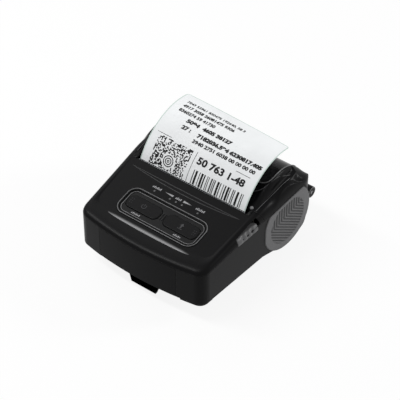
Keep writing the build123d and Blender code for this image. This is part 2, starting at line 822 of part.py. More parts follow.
lift_angle = degrees(atan2(lift[1], lift[0])) - 90.0
head_pin_rise = -10.5
head_pin_back = head_thickness + 0.5 + sink_thickness / 2 - 0.15
head_pin_radius = 1.1
head_pin = at_nip(head_pin_rise, head_pin_back)
with BuildSketch(Plane.YZ) as plate_side:
    with BuildLine():
        Polyline(
            (motor_y - 9, deck + 5.0), (idler_y + 6, deck + 5.0), (platen_y + 8.5, deck + 22.0),
            (platen_y + 8.5, platen_z + 2.0), (platen_y - 5.6, platen_z + 3.2), at_nip(3.5, bar_near + 1.2),
            (motor_y - 9, deck + 27.0), close=True,
        )
    make_face()
    with Locations(Location((platen_y + 10 * lift[0], platen_z + 10 * lift[1]), lift_angle)):
        Rectangle(2 * (bearing_radius + running_fit), 20.0, mode=Mode.SUBTRACT)
    with Locations((platen_y, platen_z)):
        Circle(bearing_radius + running_fit, mode=Mode.SUBTRACT)
    with Locations((latch_y, latch_z)):
        Circle(latch_shaft_radius + running_fit, mode=Mode.SUBTRACT)
    with Locations(head_pin):
        Circle(head_pin_radius, mode=Mode.SUBTRACT)
with BuildPart() as print_frame:
    for sign in (-1, 1):
        with Locations((sign * (frame_half + frame_thickness / 2), 0, 0)):
            add(extrude(plate_side.sketch, amount=frame_thickness / 2, both=True, mode=Mode.PRIVATE))
    extrude(nip_block(-3.0, 3.5, bar_near, bar_near + 1.2), amount=frame_half + frame_thickness / 2,
            both=True)
    with BuildSketch(Plane.YZ.offset(-far)):
        with Locations((idler_y, idler_z)):
            Circle(idler_pin_radius)
        with Locations((motor_y, motor_z)):
            Circle(3.0)
    extrude(amount=far, mode=Mode.SUBTRACT)
    with BuildSketch(Plane.XY.offset(deck + wall)):
        with Locations((-(frame_half - 3), idler_y), (frame_half - 3, idler_y)):
            Rectangle(8.4, 10.0)
    extrude(amount=frame_thickness)
    for sign in (-1, 1):
        with BuildSketch(Plane.XY.offset(deck + wall)):
            with Locations((sign * (frame_half + frame_thickness / 2), idler_y)):
                Rectangle(frame_thickness, 10.0)
        extrude(amount=5.0)
print_frame.part.label = "print_frame"
export_step(print_frame.part, "parts/print_frame.step")

# Print head on its heat sink, swung on a pin and pressed by a leaf spring
head_back = paper_gap + label_thickness / 2
with BuildPart() as print_head:
    extrude(nip_block(-9.0, 3.2, head_back, head_back + head_thickness), amount=head_half, both=True)
print_head.part.label = "print_head"
export_step(print_head.part, "parts/print_head.step")

sink_near = head_back + head_thickness
with BuildPart() as head_sink:
    extrude(nip_block(-13.0, 3.2, sink_near, sink_near + sink_thickness), amount=head_half + 1.5, both=True)
    extrude(nip_block(-6.5, 0.5, sink_near + 1.6, sink_near + sink_thickness + 1), amount=head_half - 8,
            both=True, mode=Mode.SUBTRACT)
    with BuildSketch(Plane.YZ):
        with Locations(head_pin):
            Circle(head_pin_radius + running_fit)
    extrude(amount=far, both=True, mode=Mode.SUBTRACT)
head_sink.part.label = "head_sink"
export_step(head_sink.part, "parts/head_sink.step")

with BuildPart() as head_pivot:
    with BuildSketch(Plane.YZ):
        with Locations(head_pin):
            Circle(head_pin_radius)
    extrude(amount=frame_half + frame_thickness, both=True)
head_pivot.part.label = "head_pivot"
export_step(head_pivot.part, "parts/head_pivot.step")

spring_near = sink_near + sink_thickness + 0.6
with BuildPart() as head_spring:
    for spring_x in (-30.0, 30.0):
        with Locations((spring_x, 0, 0)):
            with BuildSketch(Plane.YZ) as leaf:
                with BuildLine():
                    Polyline(at_nip(-2.6, bar_near), at_nip(-2.6, bar_near - 0.4), at_nip(0.5, spring_near),
                             at_nip(3.0, spring_near + 0.8), at_nip(3.0, spring_near + 1.2),
                             at_nip(0.6, spring_near + 0.45), at_nip(-1.8, bar_near), close=True)
                make_face()
            extrude(amount=9, both=True)
head_spring.part.label = "head_spring"
export_step(head_spring.part, "parts/head_spring.step")

# Drive train on the left
def gear_points(teeth, angle):
    """A gear's outline, an involute flank each side of every tooth, with a tooth centred on angle."""
    pitch = gear_module * teeth / 2
    base = pitch * cos(radians(20))
    tip = pitch + gear_module
    root = pitch - 1.25 * gear_module
    half_tooth = (pi * gear_module / 4 - tooth_slack / 2) / pitch
    pitch_roll = sqrt((pitch / base) ** 2 - 1)
    half_base = half_tooth + pitch_roll - atan(pitch_roll)
    start = max(base, root)
    flank = []
    for n in range(5):
        radius = start + (tip - start) * n / 4
        roll = sqrt(max((radius / base) ** 2 - 1, 0.0))
        flank.append((radius, half_base - roll + atan(roll)))
    points = []
    for tooth in range(teeth):
        middle = angle + 2 * pi * tooth / teeth
        low = [(root, half_base)] if root < start else []
        for radius, half in low + flank:
            points.append((radius * cos(middle - half), radius * sin(middle - half)))
        for radius, half in (low + flank)[::-1]:
            points.append((radius * cos(middle + half), radius * sin(middle + half)))
    return points


def mesh_angle(own_angle, own_teeth, direction, other_teeth):
    """The tooth angle that sets a second gear's teeth in the first one's gaps along direction."""
    phase = (direction - own_angle) * own_teeth / (2 * pi)
    return direction + pi + (phase + 0.5) * 2 * pi / other_teeth


lift_direction = atan2(lift[1], lift[0])
platen_tooth = lift_direction + pi
idler_tooth = mesh_angle(platen_tooth, platen_teeth, lift_direction + pi, idler_teeth)
pinion_tooth = mesh_angle(idler_tooth, idler_teeth, radians(motor_angle), pinion_teeth)
gear_x = -(frame_half + frame_thickness + 0.8)

with BuildPart() as platen_gear:
    with BuildSketch(Plane.YZ.offset(gear_x)):
        with Locations((platen_y, platen_z)):
            Polygon(*gear_points(platen_teeth, platen_tooth), align=None)
            Circle(platen_shaft_radius * 0.8, mode=Mode.SUBTRACT)
    extrude(amount=-gear_width)
platen_gear.part.label = "platen_gear"
export_step(platen_gear.part, "parts/platen_gear.step")

with BuildPart() as idler_gear:
    with BuildSketch(Plane.YZ.offset(gear_x)):
        with Locations((idler_y, idler_z)):
            Polygon(*gear_points(idler_teeth, idler_tooth), align=None)
            Circle(idler_pin_radius + running_fit, mode=Mode.SUBTRACT)
            with PolarLocations(6.6, 6):
                Circle(1.7, mode=Mode.SUBTRACT)
    extrude(amount=-gear_width)
idler_gear.part.label = "idler_gear"
export_step(idler_gear.part, "parts/idler_gear.step")

with BuildPart() as idler_axle:
    with BuildSketch(Plane.YZ.offset(-frame_half)):
        with Locations((idler_y, idler_z)):
            Circle(idler_pin_radius)
    extrude(amount=-(frame_thickness + 0.8 + gear_width + 1.0))
    with BuildSketch(Plane.YZ.offset(gear_x - gear_width - 0.15)):
        with Locations((idler_y, idler_z)):
            Circle(idler_pin_radius + 0.9)
    extrude(amount=-0.6)
idler_axle.part.label = "idler_axle"
export_step(idler_axle.part, "parts/idler_axle.step")

with BuildPart() as drive_motor:
    with BuildSketch(Plane.YZ.offset(-frame_half)):
        with Locations((motor_y, motor_z)):
            Circle(motor_radius)
    extrude(amount=motor_length)
    with BuildSketch(Plane.YZ.offset(-frame_half)):
        with Locations((motor_y, motor_z)):
            Circle(1.0 + running_fit)
    extrude(amount=motor_length - 2, mode=Mode.SUBTRACT)
drive_motor.part.label = "drive_motor"
export_step(drive_motor.part, "parts/drive_motor.step")

with BuildPart() as motor_pinion:
    with BuildSketch(Plane.YZ.offset(gear_x)):
        with Locations((motor_y, motor_z)):
            Polygon(*gear_points(pinion_teeth, pinion_tooth), align=None)
    extrude(amount=-gear_width)
    with BuildSketch(Plane.YZ.offset(gear_x)):
        with Locations((motor_y, motor_z)):
            Circle(1.0)
    extrude(amount=motor_length - 4)
motor_pinion.part.label = "motor_pinion"
export_step(motor_pinion.part, "parts/motor_pinion.step")

# Platen roller with its bushings
with BuildPart() as platen_shaft:
    with BuildSketch(Plane.YZ.offset(-(frame_half + frame_thickness))):
        with Locations((platen_y, platen_z)):
            Circle(platen_shaft_radius)
    extrude(amount=2 * (frame_half + frame_thickness))
    with BuildSketch(Plane.YZ.offset(gear_x - gear_width - 0.4)):
        with Locations((platen_y, platen_z)):
            Circle(platen_shaft_radius * 0.8)
    extrude(amount=gear_width + 1.4)
platen_shaft.part.label = "platen_shaft"
export_step(platen_shaft.part, "parts/platen_shaft.step")

with BuildPart() as platen_rubber:
    with BuildSketch(Plane.YZ.offset(-label_width / 2)):
        with Locations((platen_y, platen_z)):
            Circle(platen_radius)
            Circle(platen_shaft_radius, mode=Mode.SUBTRACT)
    extrude(amount=label_width)
platen_rubber.part.label = "platen_rubber"
export_step(platen_rubber.part, "parts/platen_rubber.step")

liner_x = label_width / 2 + 0.8
liner_thickness = 1.4
hook_x = liner_x + liner_thickness + 0.3
hook_thickness = 1.4
with BuildPart() as platen_bushings:
    for sign in (-1, 1):
        with BuildSketch(Plane.YZ.offset(sign * liner_x)):
            with Locations((platen_y, platen_z)):
                Circle(bearing_radius)
                Circle(platen_shaft_radius + running_fit, mode=Mode.SUBTRACT)
        extrude(amount=sign * (frame_half + frame_thickness - 0.1 - liner_x))
platen_bushings.part.label = "platen_bushings"
export_step(platen_bushings.part, "parts/platen_bushings.step")

# Latch: the lever, its cross shaft and the two hooks
with BuildPart() as latch_shaft:
    with BuildSketch(Plane.YZ):
        with Locations((latch_y, latch_z)):
            Circle(latch_shaft_radius)
    extrude(amount=frame_half + frame_thickness + 5.0, both=True)
latch_shaft.part.label = "latch_shaft"
export_step(latch_shaft.part, "parts/latch_shaft.step")

nose_gap = bearing_radius + 0.35
nose_low = (platen_y - nose_gap * lift[1], platen_z + nose_gap * lift[0])
nose_high = (nose_low[0] + 6.0 * lift[0], nose_low[1] + 6.0 * lift[1])
for hook_name, hook_sign in (("left", -1), ("right", 1)):
    with BuildPart() as latch_hook:
        with BuildSketch(Plane.YZ.offset(hook_sign * hook_x)):
            with BuildLine():
                Polyline(
                    (latch_y - 0.5, latch_z - 3.4), (latch_y + 6.5, latch_z + 0.4), nose_low, nose_high,
                    (nose_high[0] - 2.2, nose_high[1] + 0.4), (nose_low[0] - 2.6, nose_low[1] + 0.6),
                    (latch_y + 4.4, latch_z + 3.6), (latch_y, latch_z + 3.4), close=True,
                )
            make_face()
            with Locations((latch_y, latch_z)):
                Circle(3.4)
                Circle(latch_shaft_radius, mode=Mode.SUBTRACT)
        extrude(amount=hook_sign * hook_thickness)
    latch_hook.part.label = f"latch_hook_{hook_name}"
    export_step(latch_hook.part, f"parts/latch_hook_{hook_name}.step")

lever_form = envelope(lever_skin)
arm_form = envelope(0.6)
arm_x = frame_half + frame_thickness + 0.5
with BuildPart() as open_lever:
    add(outer_form)
    add(lever_form, mode=Mode.SUBTRACT)
    extrude(lever_side(0.0), amount=far, mode=Mode.INTERSECT)
    with BuildSketch(Plane.YZ.offset(arm_x)):
        with BuildLine():
            Polyline((latch_y - 3.0, latch_z), (latch_y + 3.0, latch_z),
                     (latch_y + 5.0, seam_z(latch_y) + 6.0), (latch_y - 5.0, seam_z(latch_y) + 6.0),
                     close=True)
        make_face()
        with Locations((latch_y, latch_z)):
            Circle(3.6)
            Circle(latch_shaft_radius, mode=Mode.SUBTRACT)
    extrude(amount=3.0)
open_lever.part.label = "open_lever"
export_step(open_lever.part, "parts/open_lever.step")

with BuildPart() as latch_spring:
    with BuildSketch(Plane.YZ.offset(arm_x - frame_thickness - 9.0)):
        with Locations((latch_y, latch_z)):
            Circle(3.0)
            Circle(latch_shaft_radius + 0.1, mode=Mode.SUBTRACT)
    extrude(amount=6.0)
latch_spring.part.label = "latch_spring"
export_step(latch_spring.part, "parts/latch_spring.step")

# Lid: side rails, the roll's round cover, a ramp up from the slot and the outer hinge knuckles
window_half = drum_half - 3.2
window_round = 8.0
window_thickness = 1.4
window_sink = 0.35
window_tail = 15.0
window_front = tangent_point((lid_front_y, lid_front_z), (drum_y, drum_z), drum_radius, 1)[0] - 1.0
window_low_z = drum_z + drum_radius * sin(radians(window_tail))
drum_outer = drum(0.0)
drum_inner = drum(wall)


def window_plan(grow):
    """The window's outline from above, with round front corners, grown all round."""
    half = window_half + grow
    with BuildSketch(Plane.XY.offset(window_low_z - grow)) as shape:
        with BuildLine():
            Polyline((-half, rear_y + 20), (-half, window_front - grow), (half, window_front - grow),
                     (half, rear_y + 20), close=True)
        made = make_face()
        fillet(made.vertices().sort_by(Axis.Y)[:2], window_round + grow)
    return shape.sketch


with BuildPart() as lid_region:
    extrude(lid_side(shell_gap, hinge_y + 30), amount=far, both=True)
    add(corners(shell_gap))
with BuildPart() as lid_cover:
    add(outer_form)
    add(drum_outer)
    add(inner_form, mode=Mode.SUBTRACT)
    add(drum_inner, mode=Mode.SUBTRACT)
    add(lid_region.part, mode=Mode.INTERSECT)
    add(barrels(housing_knuckle_start - fit, housing_knuckle_end, barrel_radius + 0.5), mode=Mode.SUBTRACT)
    add(barrels(lid_knuckle_start, knuckle_end, barrel_radius, lid_tail_z + shell_gap + 0.2,
                hinge_z + barrel_radius - 0.3))
    add(barrels(lid_knuckle_start - 1, knuckle_end + 1, pin_radius), mode=Mode.SUBTRACT)
    extrude(window_plan(0.2), amount=far, mode=Mode.SUBTRACT)
lid_cover.part.label = "lid_cover"
export_step(lid_cover.part, "parts/lid_cover.step")

window_out = drum(window_sink)
window_in = drum(window_sink + window_thickness)
with BuildPart() as lid_window:
    add(window_out)
    add(window_in, mode=Mode.SUBTRACT)
    extrude(window_plan(0.0), amount=far, mode=Mode.INTERSECT)
lid_window.part.label = "lid_window"
export_step(lid_window.part, "parts/lid_window.step")

# Frame inside the lid: two cheeks that carry the platen and a bar between them
liner_inset = wall + 0.1
ramp_start = (lid_front_y + liner_inset, lid_front_z - liner_inset)
ramp_touch = tangent_point(ramp_start, (drum_y, drum_z), drum_radius - liner_inset, 1)
ramp_slope = (ramp_touch[1] - ramp_start[1]) / (ramp_touch[0] - ramp_start[0])
bar_front = platen_y + platen_radius + 1.6
bar_thick = 2.0
cheek_rear = bar_front + 15.0


def ramp_z(y):
    """Height of the inner face of the lid's ramp."""
    return ramp_start[1] + ramp_slope * (y - ramp_start[0])


with BuildPart() as lid_liner:
    for sign in (-1, 1):
        with BuildSketch(Plane.YZ.offset(sign * liner_x)):
            with BuildLine():
                Polyline(
                    (platen_y - 4.8, platen_z + 1.0), (platen_y - 1.0, platen_z - 5.6),
                    (platen_y + 6.0, platen_z - 5.6), (cheek_rear, platen_z + 6.0),
                    (cheek_rear, ramp_z(cheek_rear)), ramp_start, (platen_y - 1.0, platen_z + 6.2),
                    (platen_y - 4.0, platen_z + 5.0), close=True,
                )
            make_face()
            with Locations((platen_y, platen_z)):
                Circle(bearing_radius, mode=Mode.SUBTRACT)
        extrude(amount=sign * liner_thickness)
    with BuildSketch(Plane.YZ):
        with BuildLine():
            Polyline((bar_front, platen_z - 3.0), (bar_front + bar_thick, platen_z - 3.0),
                     (bar_front + bar_thick, ramp_z(bar_front + bar_thick)), (bar_front, ramp_z(bar_front)),
                     close=True)
        make_face()
    extrude(amount=liner_x + 0.5, both=True)
lid_liner.part.label = "lid_liner"
export_step(lid_liner.part, "parts/lid_liner.step")

with BuildPart() as hinge_pin:
    with BuildSketch(Plane.YZ):
        with Locations((hinge_y, hinge_z)):
            Circle(pin_radius)
    extrude(amount=knuckle_end - 0.5, both=True)
hinge_pin.part.label = "hinge_pin"
export_step(hinge_pin.part, "parts/hinge_pin.step")

# Label roll, its core and the web that leads from it round the platen to the nip
with BuildPart() as roll_core:
    with BuildSketch(Plane.YZ):
        with Locations((drum_y, drum_z)):
            Circle(core_radius)
            Circle(core_radius - core_wall, mode=Mode.SUBTRACT)
    extrude(amount=label_width / 2, both=True)
roll_core.part.label = "roll_core"
export_step(roll_core.part, "parts/roll_core.step")

with BuildPart() as label_roll:
    with BuildSketch(Plane.YZ):
        with Locations((drum_y, drum_z)):
            Circle(roll_radius)
            Circle(core_radius, mode=Mode.SUBTRACT)
    extrude(amount=label_width / 2, both=True)
label_roll.part.label = "label_roll"
export_step(label_roll.part, "parts/label_roll.step")

web_on_platen = platen_radius + paper_gap
web_on_roll = roll_radius + 0.4
web_span = hypot(platen_y - drum_y, platen_z - drum_z)
web_line = atan2(platen_z - drum_z, platen_y - drum_y) - asin((web_on_roll - web_on_platen) / web_span)
web_touch = degrees(web_line) + 90.0
with BuildPart() as label_web:
    with BuildSketch(Plane.YZ):
        wrap_near = arc_points((platen_y, platen_z), web_on_platen, 180.0 - nip_tilt, web_touch, 8)
        wrap_far = arc_points((platen_y, platen_z), web_on_platen + label_thickness, 180.0 - nip_tilt,
                              web_touch, 8)
        roll_near = arc_points((drum_y, drum_z), web_on_roll, web_touch, web_touch, 1)[0]
        roll_far = arc_points((drum_y, drum_z), web_on_roll + label_thickness, web_touch, web_touch, 1)[0]
        with BuildLine():
            Polyline(*(wrap_near + [roll_near, roll_far] + wrap_far[::-1]), close=True)
        make_face()
    extrude(amount=label_width / 2, both=True)
label_web.part.label = "label_web"
export_step(label_web.part, "parts/label_web.step")

# Printed label: up from the nip, round the bend and along the free arc
arc_start = 180.0 - degrees(slot_lean)
arc_end = arc_start - label_arc_turn
bend_centre = (bend_y + bend_radius * cos(tilt), bend_z - bend_radius * sin(tilt))
sheet_ends = []
with BuildPart() as printed_label:
    with BuildSketch(Plane.YZ):
        with BuildLine():
            for shift in (label_thickness / 2, -label_thickness / 2):
                foot = at_nip(0.3, shift)
                bend = arc_points(bend_centre, bend_radius + shift, 180.0 - nip_tilt, arc_start, 2)
                free = arc_points((arc_y, arc_z), label_arc_radius + shift, arc_start, arc_end, 2)
                Line(foot, bend[0])
                ThreePointArc(*bend)
                ThreePointArc(bend[2], free[1], free[2])
                sheet_ends += [foot, free[2]]
            Line(sheet_ends[0], sheet_ends[2])
            Line(sheet_ends[1], sheet_ends[3])
        make_face()
    extrude(amount=label_width / 2, both=True)
printed_label.part.label = "printed_label"
export_step(printed_label.part, "parts/printed_label.step")

# Roll holders on a cross rail, and the cradle under the roll
rail_height = 2.0
rail_width = 10.0
belly_inner = drum_radius - wall
holder_x = label_width / 2 + 0.4
holder_leg = 14.0
cradle_radius = roll_radius + 1.6
cradle_thickness = 1.4
rib_run = 9.0
rib_thickness = 1.6


def belly_floor(run):
    """Height of the belly's inner face, run away from its middle."""
    return belly_z - sqrt(belly_inner**2 - run**2)


rail_z = belly_floor(rail_width / 2) + 0.05
saddle_z = belly_floor(rail_width / 2 + 2.0) + 0.1
saddle_top = rail_z + rail_height + 2.3
for holder_name, sign in (("left", -1), ("right", 1)):
    with BuildPart() as roll_holder:
        with BuildSketch(Plane.YZ.offset(sign * holder_x)):
            with Locations((drum_y, drum_z)):
                Circle(core_radius + 1.5)
            with Locations((drum_y, (drum_z + saddle_top - 1.0) / 2)):
                Rectangle(holder_leg, drum_z - saddle_top + 1.0)
        extrude(amount=sign * holder_thickness)
        with BuildSketch(Plane.YZ.offset(sign * holder_x)):
            with Locations((drum_y, drum_z)):
                Circle(core_radius - core_wall - 0.25)
                Circle(core_radius - core_wall - 2.0, mode=Mode.SUBTRACT)
        extrude(amount=-sign * hub_length)
        with BuildSketch(Plane.YZ.offset(sign * (holder_x - 4.0))):
            with Locations((drum_y, (saddle_z + saddle_top) / 2)):
                Rectangle(rail_width + 4.0, saddle_top - saddle_z)
            with Locations((drum_y, rail_z + rail_height / 2)):
                Rectangle(rail_width + fit, rail_height + fit, mode=Mode.SUBTRACT)
        extrude(amount=sign * (holder_thickness + 6.0))
    roll_holder.part.label = f"roll_holder_{holder_name}"
    export_step(roll_holder.part, f"parts/roll_holder_{holder_name}.step")

with BuildPart() as holder_rail:
    with BuildSketch(Plane.XY.offset(rail_z)):
        with Locations((0, drum_y)):
            Rectangle(2 * (holder_x + holder_thickness + holder_travel + 3.0), rail_width)
    extrude(amount=rail_height)
holder_rail.part.label = "holder_rail"
export_step(holder_rail.part, "parts/holder_rail.step")

with BuildPart() as roll_cradle:
    with BuildSketch(Plane.YZ):
        with BuildLine():
            cradle_near = arc_points((drum_y, drum_z), cradle_radius, 238.0, 330.0, 2)
            cradle_far = arc_points((drum_y, drum_z), cradle_radius + cradle_thickness, 238.0, 330.0, 2)
            ThreePointArc(*cradle_near)
            ThreePointArc(*cradle_far)
            Line(cradle_near[0], cradle_far[0])
            Line(cradle_near[2], cradle_far[2])
        make_face()
        rib_low = belly_floor(rib_run + rib_thickness / 2) + 0.05
        rib_high = drum_z - sqrt(cradle_radius**2 - rib_run**2) - 0.6
        for rib_y in (drum_y - rib_run, drum_y + rib_run):
            with Locations((rib_y, (rib_low + rib_high) / 2)):
                Rectangle(rib_thickness, rib_high - rib_low)
    extrude(amount=holder_x - 6.0, both=True)
roll_cradle.part.label = "roll_cradle"
export_step(roll_cradle.part, "parts/roll_cradle.step")

# Paper sensor: a post under the web
sensor_y = slot_y + 2.0
sensor_half = 2.8
sensor_gap = 1.5


def web_z_at(y):
    """Height of the web's straight run above y."""
    return roll_near[1] + (y - roll_near[0]) * tan(web_line)


with BuildPart() as paper_sensor:
    with BuildSketch(Plane.YZ.offset(14.0)):
        with BuildLine():
            Polyline((sensor_y - sensor_half, deck + wall + 0.05),
                     (sensor_y + sensor_half, deck + wall + 0.05),
                     (sensor_y + sensor_half, web_z_at(sensor_y + sensor_half) - sensor_gap),
                     (sensor_y - sensor_half, web_z_at(sensor_y - sensor_half) - sensor_gap), close=True)
        make_face()
    extrude(amount=8.0)
paper_sensor.part.label = "paper_sensor"
export_step(paper_sensor.part, "parts/paper_sensor.step")

# Tear bar: a toothed strip behind the cover's lip
tear_gap = 0.4
tear_thickness = 0.4
tear_pitch = 2.0
tooth_low = -0.9
tooth_high = -0.1
tear_foot = -4.6
tear_half = label_width / 2 + 1.0
tear_count = int(2 * tear_half / tear_pitch)
tear_plane = Plane(origin=(0, web_y, web_z), x_dir=(1, 0, 0), z_dir=(0, -cos(slot_lean), sin(slot_lean)))
tear_edge = [(-tear_count * tear_pitch / 2, tooth_low)]
for n in range(tear_count):
    tooth_x = (n - tear_count / 2) * tear_pitch
    tear_edge += [(tooth_x + tear_pitch / 2, tooth_high), (tooth_x + tear_pitch, tooth_low)]
tear_end = tear_edge[-1][0]
with BuildPart() as tear_bar:
    with BuildSketch(tear_plane.offset(tear_gap)):
        with BuildLine():
            Polyline(*(tear_edge + [(tear_end, tear_foot), (-tear_end, tear_foot)]), close=True)
        make_face()
    extrude(amount=tear_thickness)
tear_bar.part.label = "tear_bar"
export_step(tear_bar.part, "parts/tear_bar.step")

# Feet under the front corners
foot_height = 4.5
foot_outer = footprint(front_y + 2.5, deck, 0.0, 2.5, rear_y - 2.5, front_corner - 2.5, 8.0)
foot_inner = footprint(front_y + 9.5, deck, 0.0, 9.5, rear_y - 9.5, 3.0, 4.0)
with BuildPart() as front_feet:
    extrude(foot_outer, amount=foot_height, dir=(0, 0, -1))
    extrude(foot_inner, amount=foot_height, dir=(0, 0, -1), mode=Mode.SUBTRACT)
    with BuildSketch(Plane.XY.offset(deck - foot_height)):
        with Locations((-pack_half - 52, front_y), (pack_half + 52, front_y)):
            Rectangle(100, 44.0)
    extrude(amount=foot_height, mode=Mode.INTERSECT)
front_feet.part.label = "front_feet"
export_step(front_feet.part, "parts/front_feet.step")

with BuildPart() as case_screws:
    with BuildSketch(Plane.XY.offset(deck + 0.4)):
        with Locations(*screw_places):
            Circle(2.4)
    extrude(amount=2.0)
    with BuildSketch(Plane.XY.offset(deck + 0.4)):
        with Locations(*screw_places):
            RegularPolygon(1.2, 6)
    extrude(amount=1.2, mode=Mode.SUBTRACT)
    with BuildSketch(Plane.XY.offset(deck + 2.0)):
        with Locations(*screw_places):
            Circle(1.05)
    extrude(amount=seam_height - 6.0)
case_screws.part.label = "case_screws"
export_step(case_screws.part, "parts/case_screws.step")

# Belt clip on its bracket under the deck
clip_y = front_y + clip_pivot_run
clip_z = deck - belt_gap - clip_thickness / 2
clip_pin_radius = 1.5
clip_lip_y = front_y + clip_lip_run
clip_half = clip_width / 2
clip_lip_z = 0.0
ear_half = clip_half + fit
ear_thickness = 2.5
bracket_thickness = 2.0
with BuildPart() as clip_bracket:
    with BuildSketch(Plane.XY.offset(deck)):
        with Locations((0, clip_y)):
            Rectangle(2 * (ear_half + ear_thickness), 14.0)
    extrude(amount=-bracket_thickness)
    for sign in (-1, 1):
        with BuildSketch(Plane.YZ.offset(sign * ear_half)):
            with Locations((clip_y, (deck + clip_z) / 2 - 0.2)):
                Rectangle(7.0, deck - clip_z - 0.4)
            with Locations((clip_y, clip_z)):
                Circle(3.5)
                Circle(clip_pin_radius, mode=Mode.SUBTRACT)
        extrude(amount=sign * ear_thickness)
clip_bracket.part.label = "clip_bracket"
export_step(clip_bracket.part, "parts/clip_bracket.step")

with BuildPart() as clip_pin:
    with BuildSketch(Plane.YZ):
        with Locations((clip_y, clip_z)):
            Circle(clip_pin_radius)
    extrude(amount=ear_half + ear_thickness, both=True)
clip_pin.part.label = "clip_pin"
export_step(clip_pin.part, "parts/clip_pin.step")

clip_top = clip_z + clip_thickness / 2
clip_under = clip_z - clip_thickness / 2
with BuildPart() as belt_clip:
    with BuildSketch(Plane.YZ):
        with BuildLine():
            Polyline(
                (clip_y, clip_top), (clip_lip_y + 7.5, clip_top), (clip_lip_y + 0.6, clip_z - 5.0),
                (clip_lip_y, clip_lip_z), (clip_lip_y + clip_thickness, clip_lip_z),
                (clip_lip_y + clip_thickness + 0.6, clip_z - 5.6), (clip_lip_y + 8.4, clip_under),
                (clip_y, clip_under), close=True,
            )
        profile = make_face()
        fillet(profile.vertices().filter_by(lambda v: v.Y > clip_lip_z + 1.0 and v.X < clip_y - 5.0), 2.2)
        with Locations((clip_y, clip_z)):
            Circle(3.0)
    extrude(amount=clip_half, both=True)
    with BuildSketch(Plane.XZ):
        with BuildLine():
            Polyline((-clip_half, clip_z - 4.0), (-clip_lip_width / 2, clip_lip_z),
                     (-clip_width, clip_lip_z - 1), (-clip_width, clip_z - 4.0), close=True)
        make_face()
        mirror(about=Plane.YZ)
    extrude(amount=far, both=True, mode=Mode.SUBTRACT)
    with BuildSketch(Plane.YZ):
        with Locations((clip_y, clip_z)):
            Circle(clip_pin_radius + running_fit)
    extrude(amount=far, both=True, mode=Mode.SUBTRACT)
belt_clip.part.label = "belt_clip"
export_step(belt_clip.part, "parts/belt_clip.step")

leaf_z = deck - bracket_thickness
with BuildPart() as clip_spring:
    with BuildSketch(Plane.YZ):
        with BuildLine():
            Polyline((clip_y - 4.6, leaf_z), (clip_y - 6.9, leaf_z), (clip_y - 9.4, clip_top + 0.25),
                     (clip_y - 8.8, clip_top + 0.1), (clip_y - 6.6, leaf_z - 0.4),
                     (clip_y - 4.6, leaf_z - 0.4), close=True)
        make_face()
    extrude(amount=6.0, both=True)
clip_spring.part.label = "clip_spring"
export_step(clip_spring.part, "parts/clip_spring.step")
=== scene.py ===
import bpy
import bmesh
import math
import numpy as np
from mathutils import Matrix
from mathutils.bvhtree import BVHTree


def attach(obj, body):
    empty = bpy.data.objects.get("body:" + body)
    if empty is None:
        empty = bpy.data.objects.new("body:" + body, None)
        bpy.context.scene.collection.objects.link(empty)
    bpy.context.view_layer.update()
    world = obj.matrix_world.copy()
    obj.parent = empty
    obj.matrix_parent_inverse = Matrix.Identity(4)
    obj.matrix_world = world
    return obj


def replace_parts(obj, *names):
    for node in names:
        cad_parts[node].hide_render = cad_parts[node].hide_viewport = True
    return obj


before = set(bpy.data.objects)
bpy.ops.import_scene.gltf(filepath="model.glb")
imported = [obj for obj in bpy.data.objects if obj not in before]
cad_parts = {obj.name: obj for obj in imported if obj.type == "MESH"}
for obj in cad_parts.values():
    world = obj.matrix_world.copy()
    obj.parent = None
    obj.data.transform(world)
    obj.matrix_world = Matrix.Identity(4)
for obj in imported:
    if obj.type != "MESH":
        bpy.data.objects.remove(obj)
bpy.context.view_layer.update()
mm = 0.001
print("frame loaded")

# Camera, at the height and turn from which the printer was photographed
cameraView = {"target": (0.0, -4.95, 50.0), "distance": 1375.0, "azimuth": 37.45, "elevation": 42.6,
              "lens": 144.0, "sensor": 36.0, "shiftX": 0.0216, "shiftY": 0.00475}


# Puts a new object into the scene
def addObject(name, data):
    added = bpy.data.objects.new(name, data)
    bpy.context.scene.collection.objects.link(added)
    return added


# back = (sin a cos e, -cos a cos e, sin e), and the camera stands at target + back * distance
def placeCamera(view):
    a, e = math.radians(view["azimuth"]), math.radians(view["elevation"])
    back = np.array([math.sin(a) * math.cos(e), -math.cos(a) * math.cos(e), math.sin(e)])
    data = bpy.data.cameras.new("productCamera")
    data.sensor_width = view["sensor"]
    data.lens = view["lens"]
    data.shift_x, data.shift_y = view["shiftX"], view["shiftY"]
    camera = addObject("productCamera", data)
    camera.location = (np.array(view["target"]) + back * view["distance"]) * mm
    camera.rotation_euler = (math.pi / 2 - e, 0.0, a)
    bpy.context.scene.camera = camera


placeCamera(cameraView)

# Lights: place, size along X and across in metres, power in watts; each looks at the printer
studioLamps = {
    "overheadBox": {"place": (-1.02, 0.46, 1.20), "size": (0.8, 0.8), "power": 3.4},
    "frontStrip": {"place": (-0.66, -0.47, 1.25), "size": (1.1, 0.10), "power": 13.0},
    "rearBox": {"place": (1.05, 0.95, 0.70), "size": (0.34, 0.34), "power": 10.0},
}
backdropLook = {"floorDrop": -0.0004, "floorHalf": 6.0, "whiteShare": 0.88, "ambient": 0.28,
                "white": (1, 1, 1, 1), "floorColour": (0.95, 0.95, 0.95, 1)}


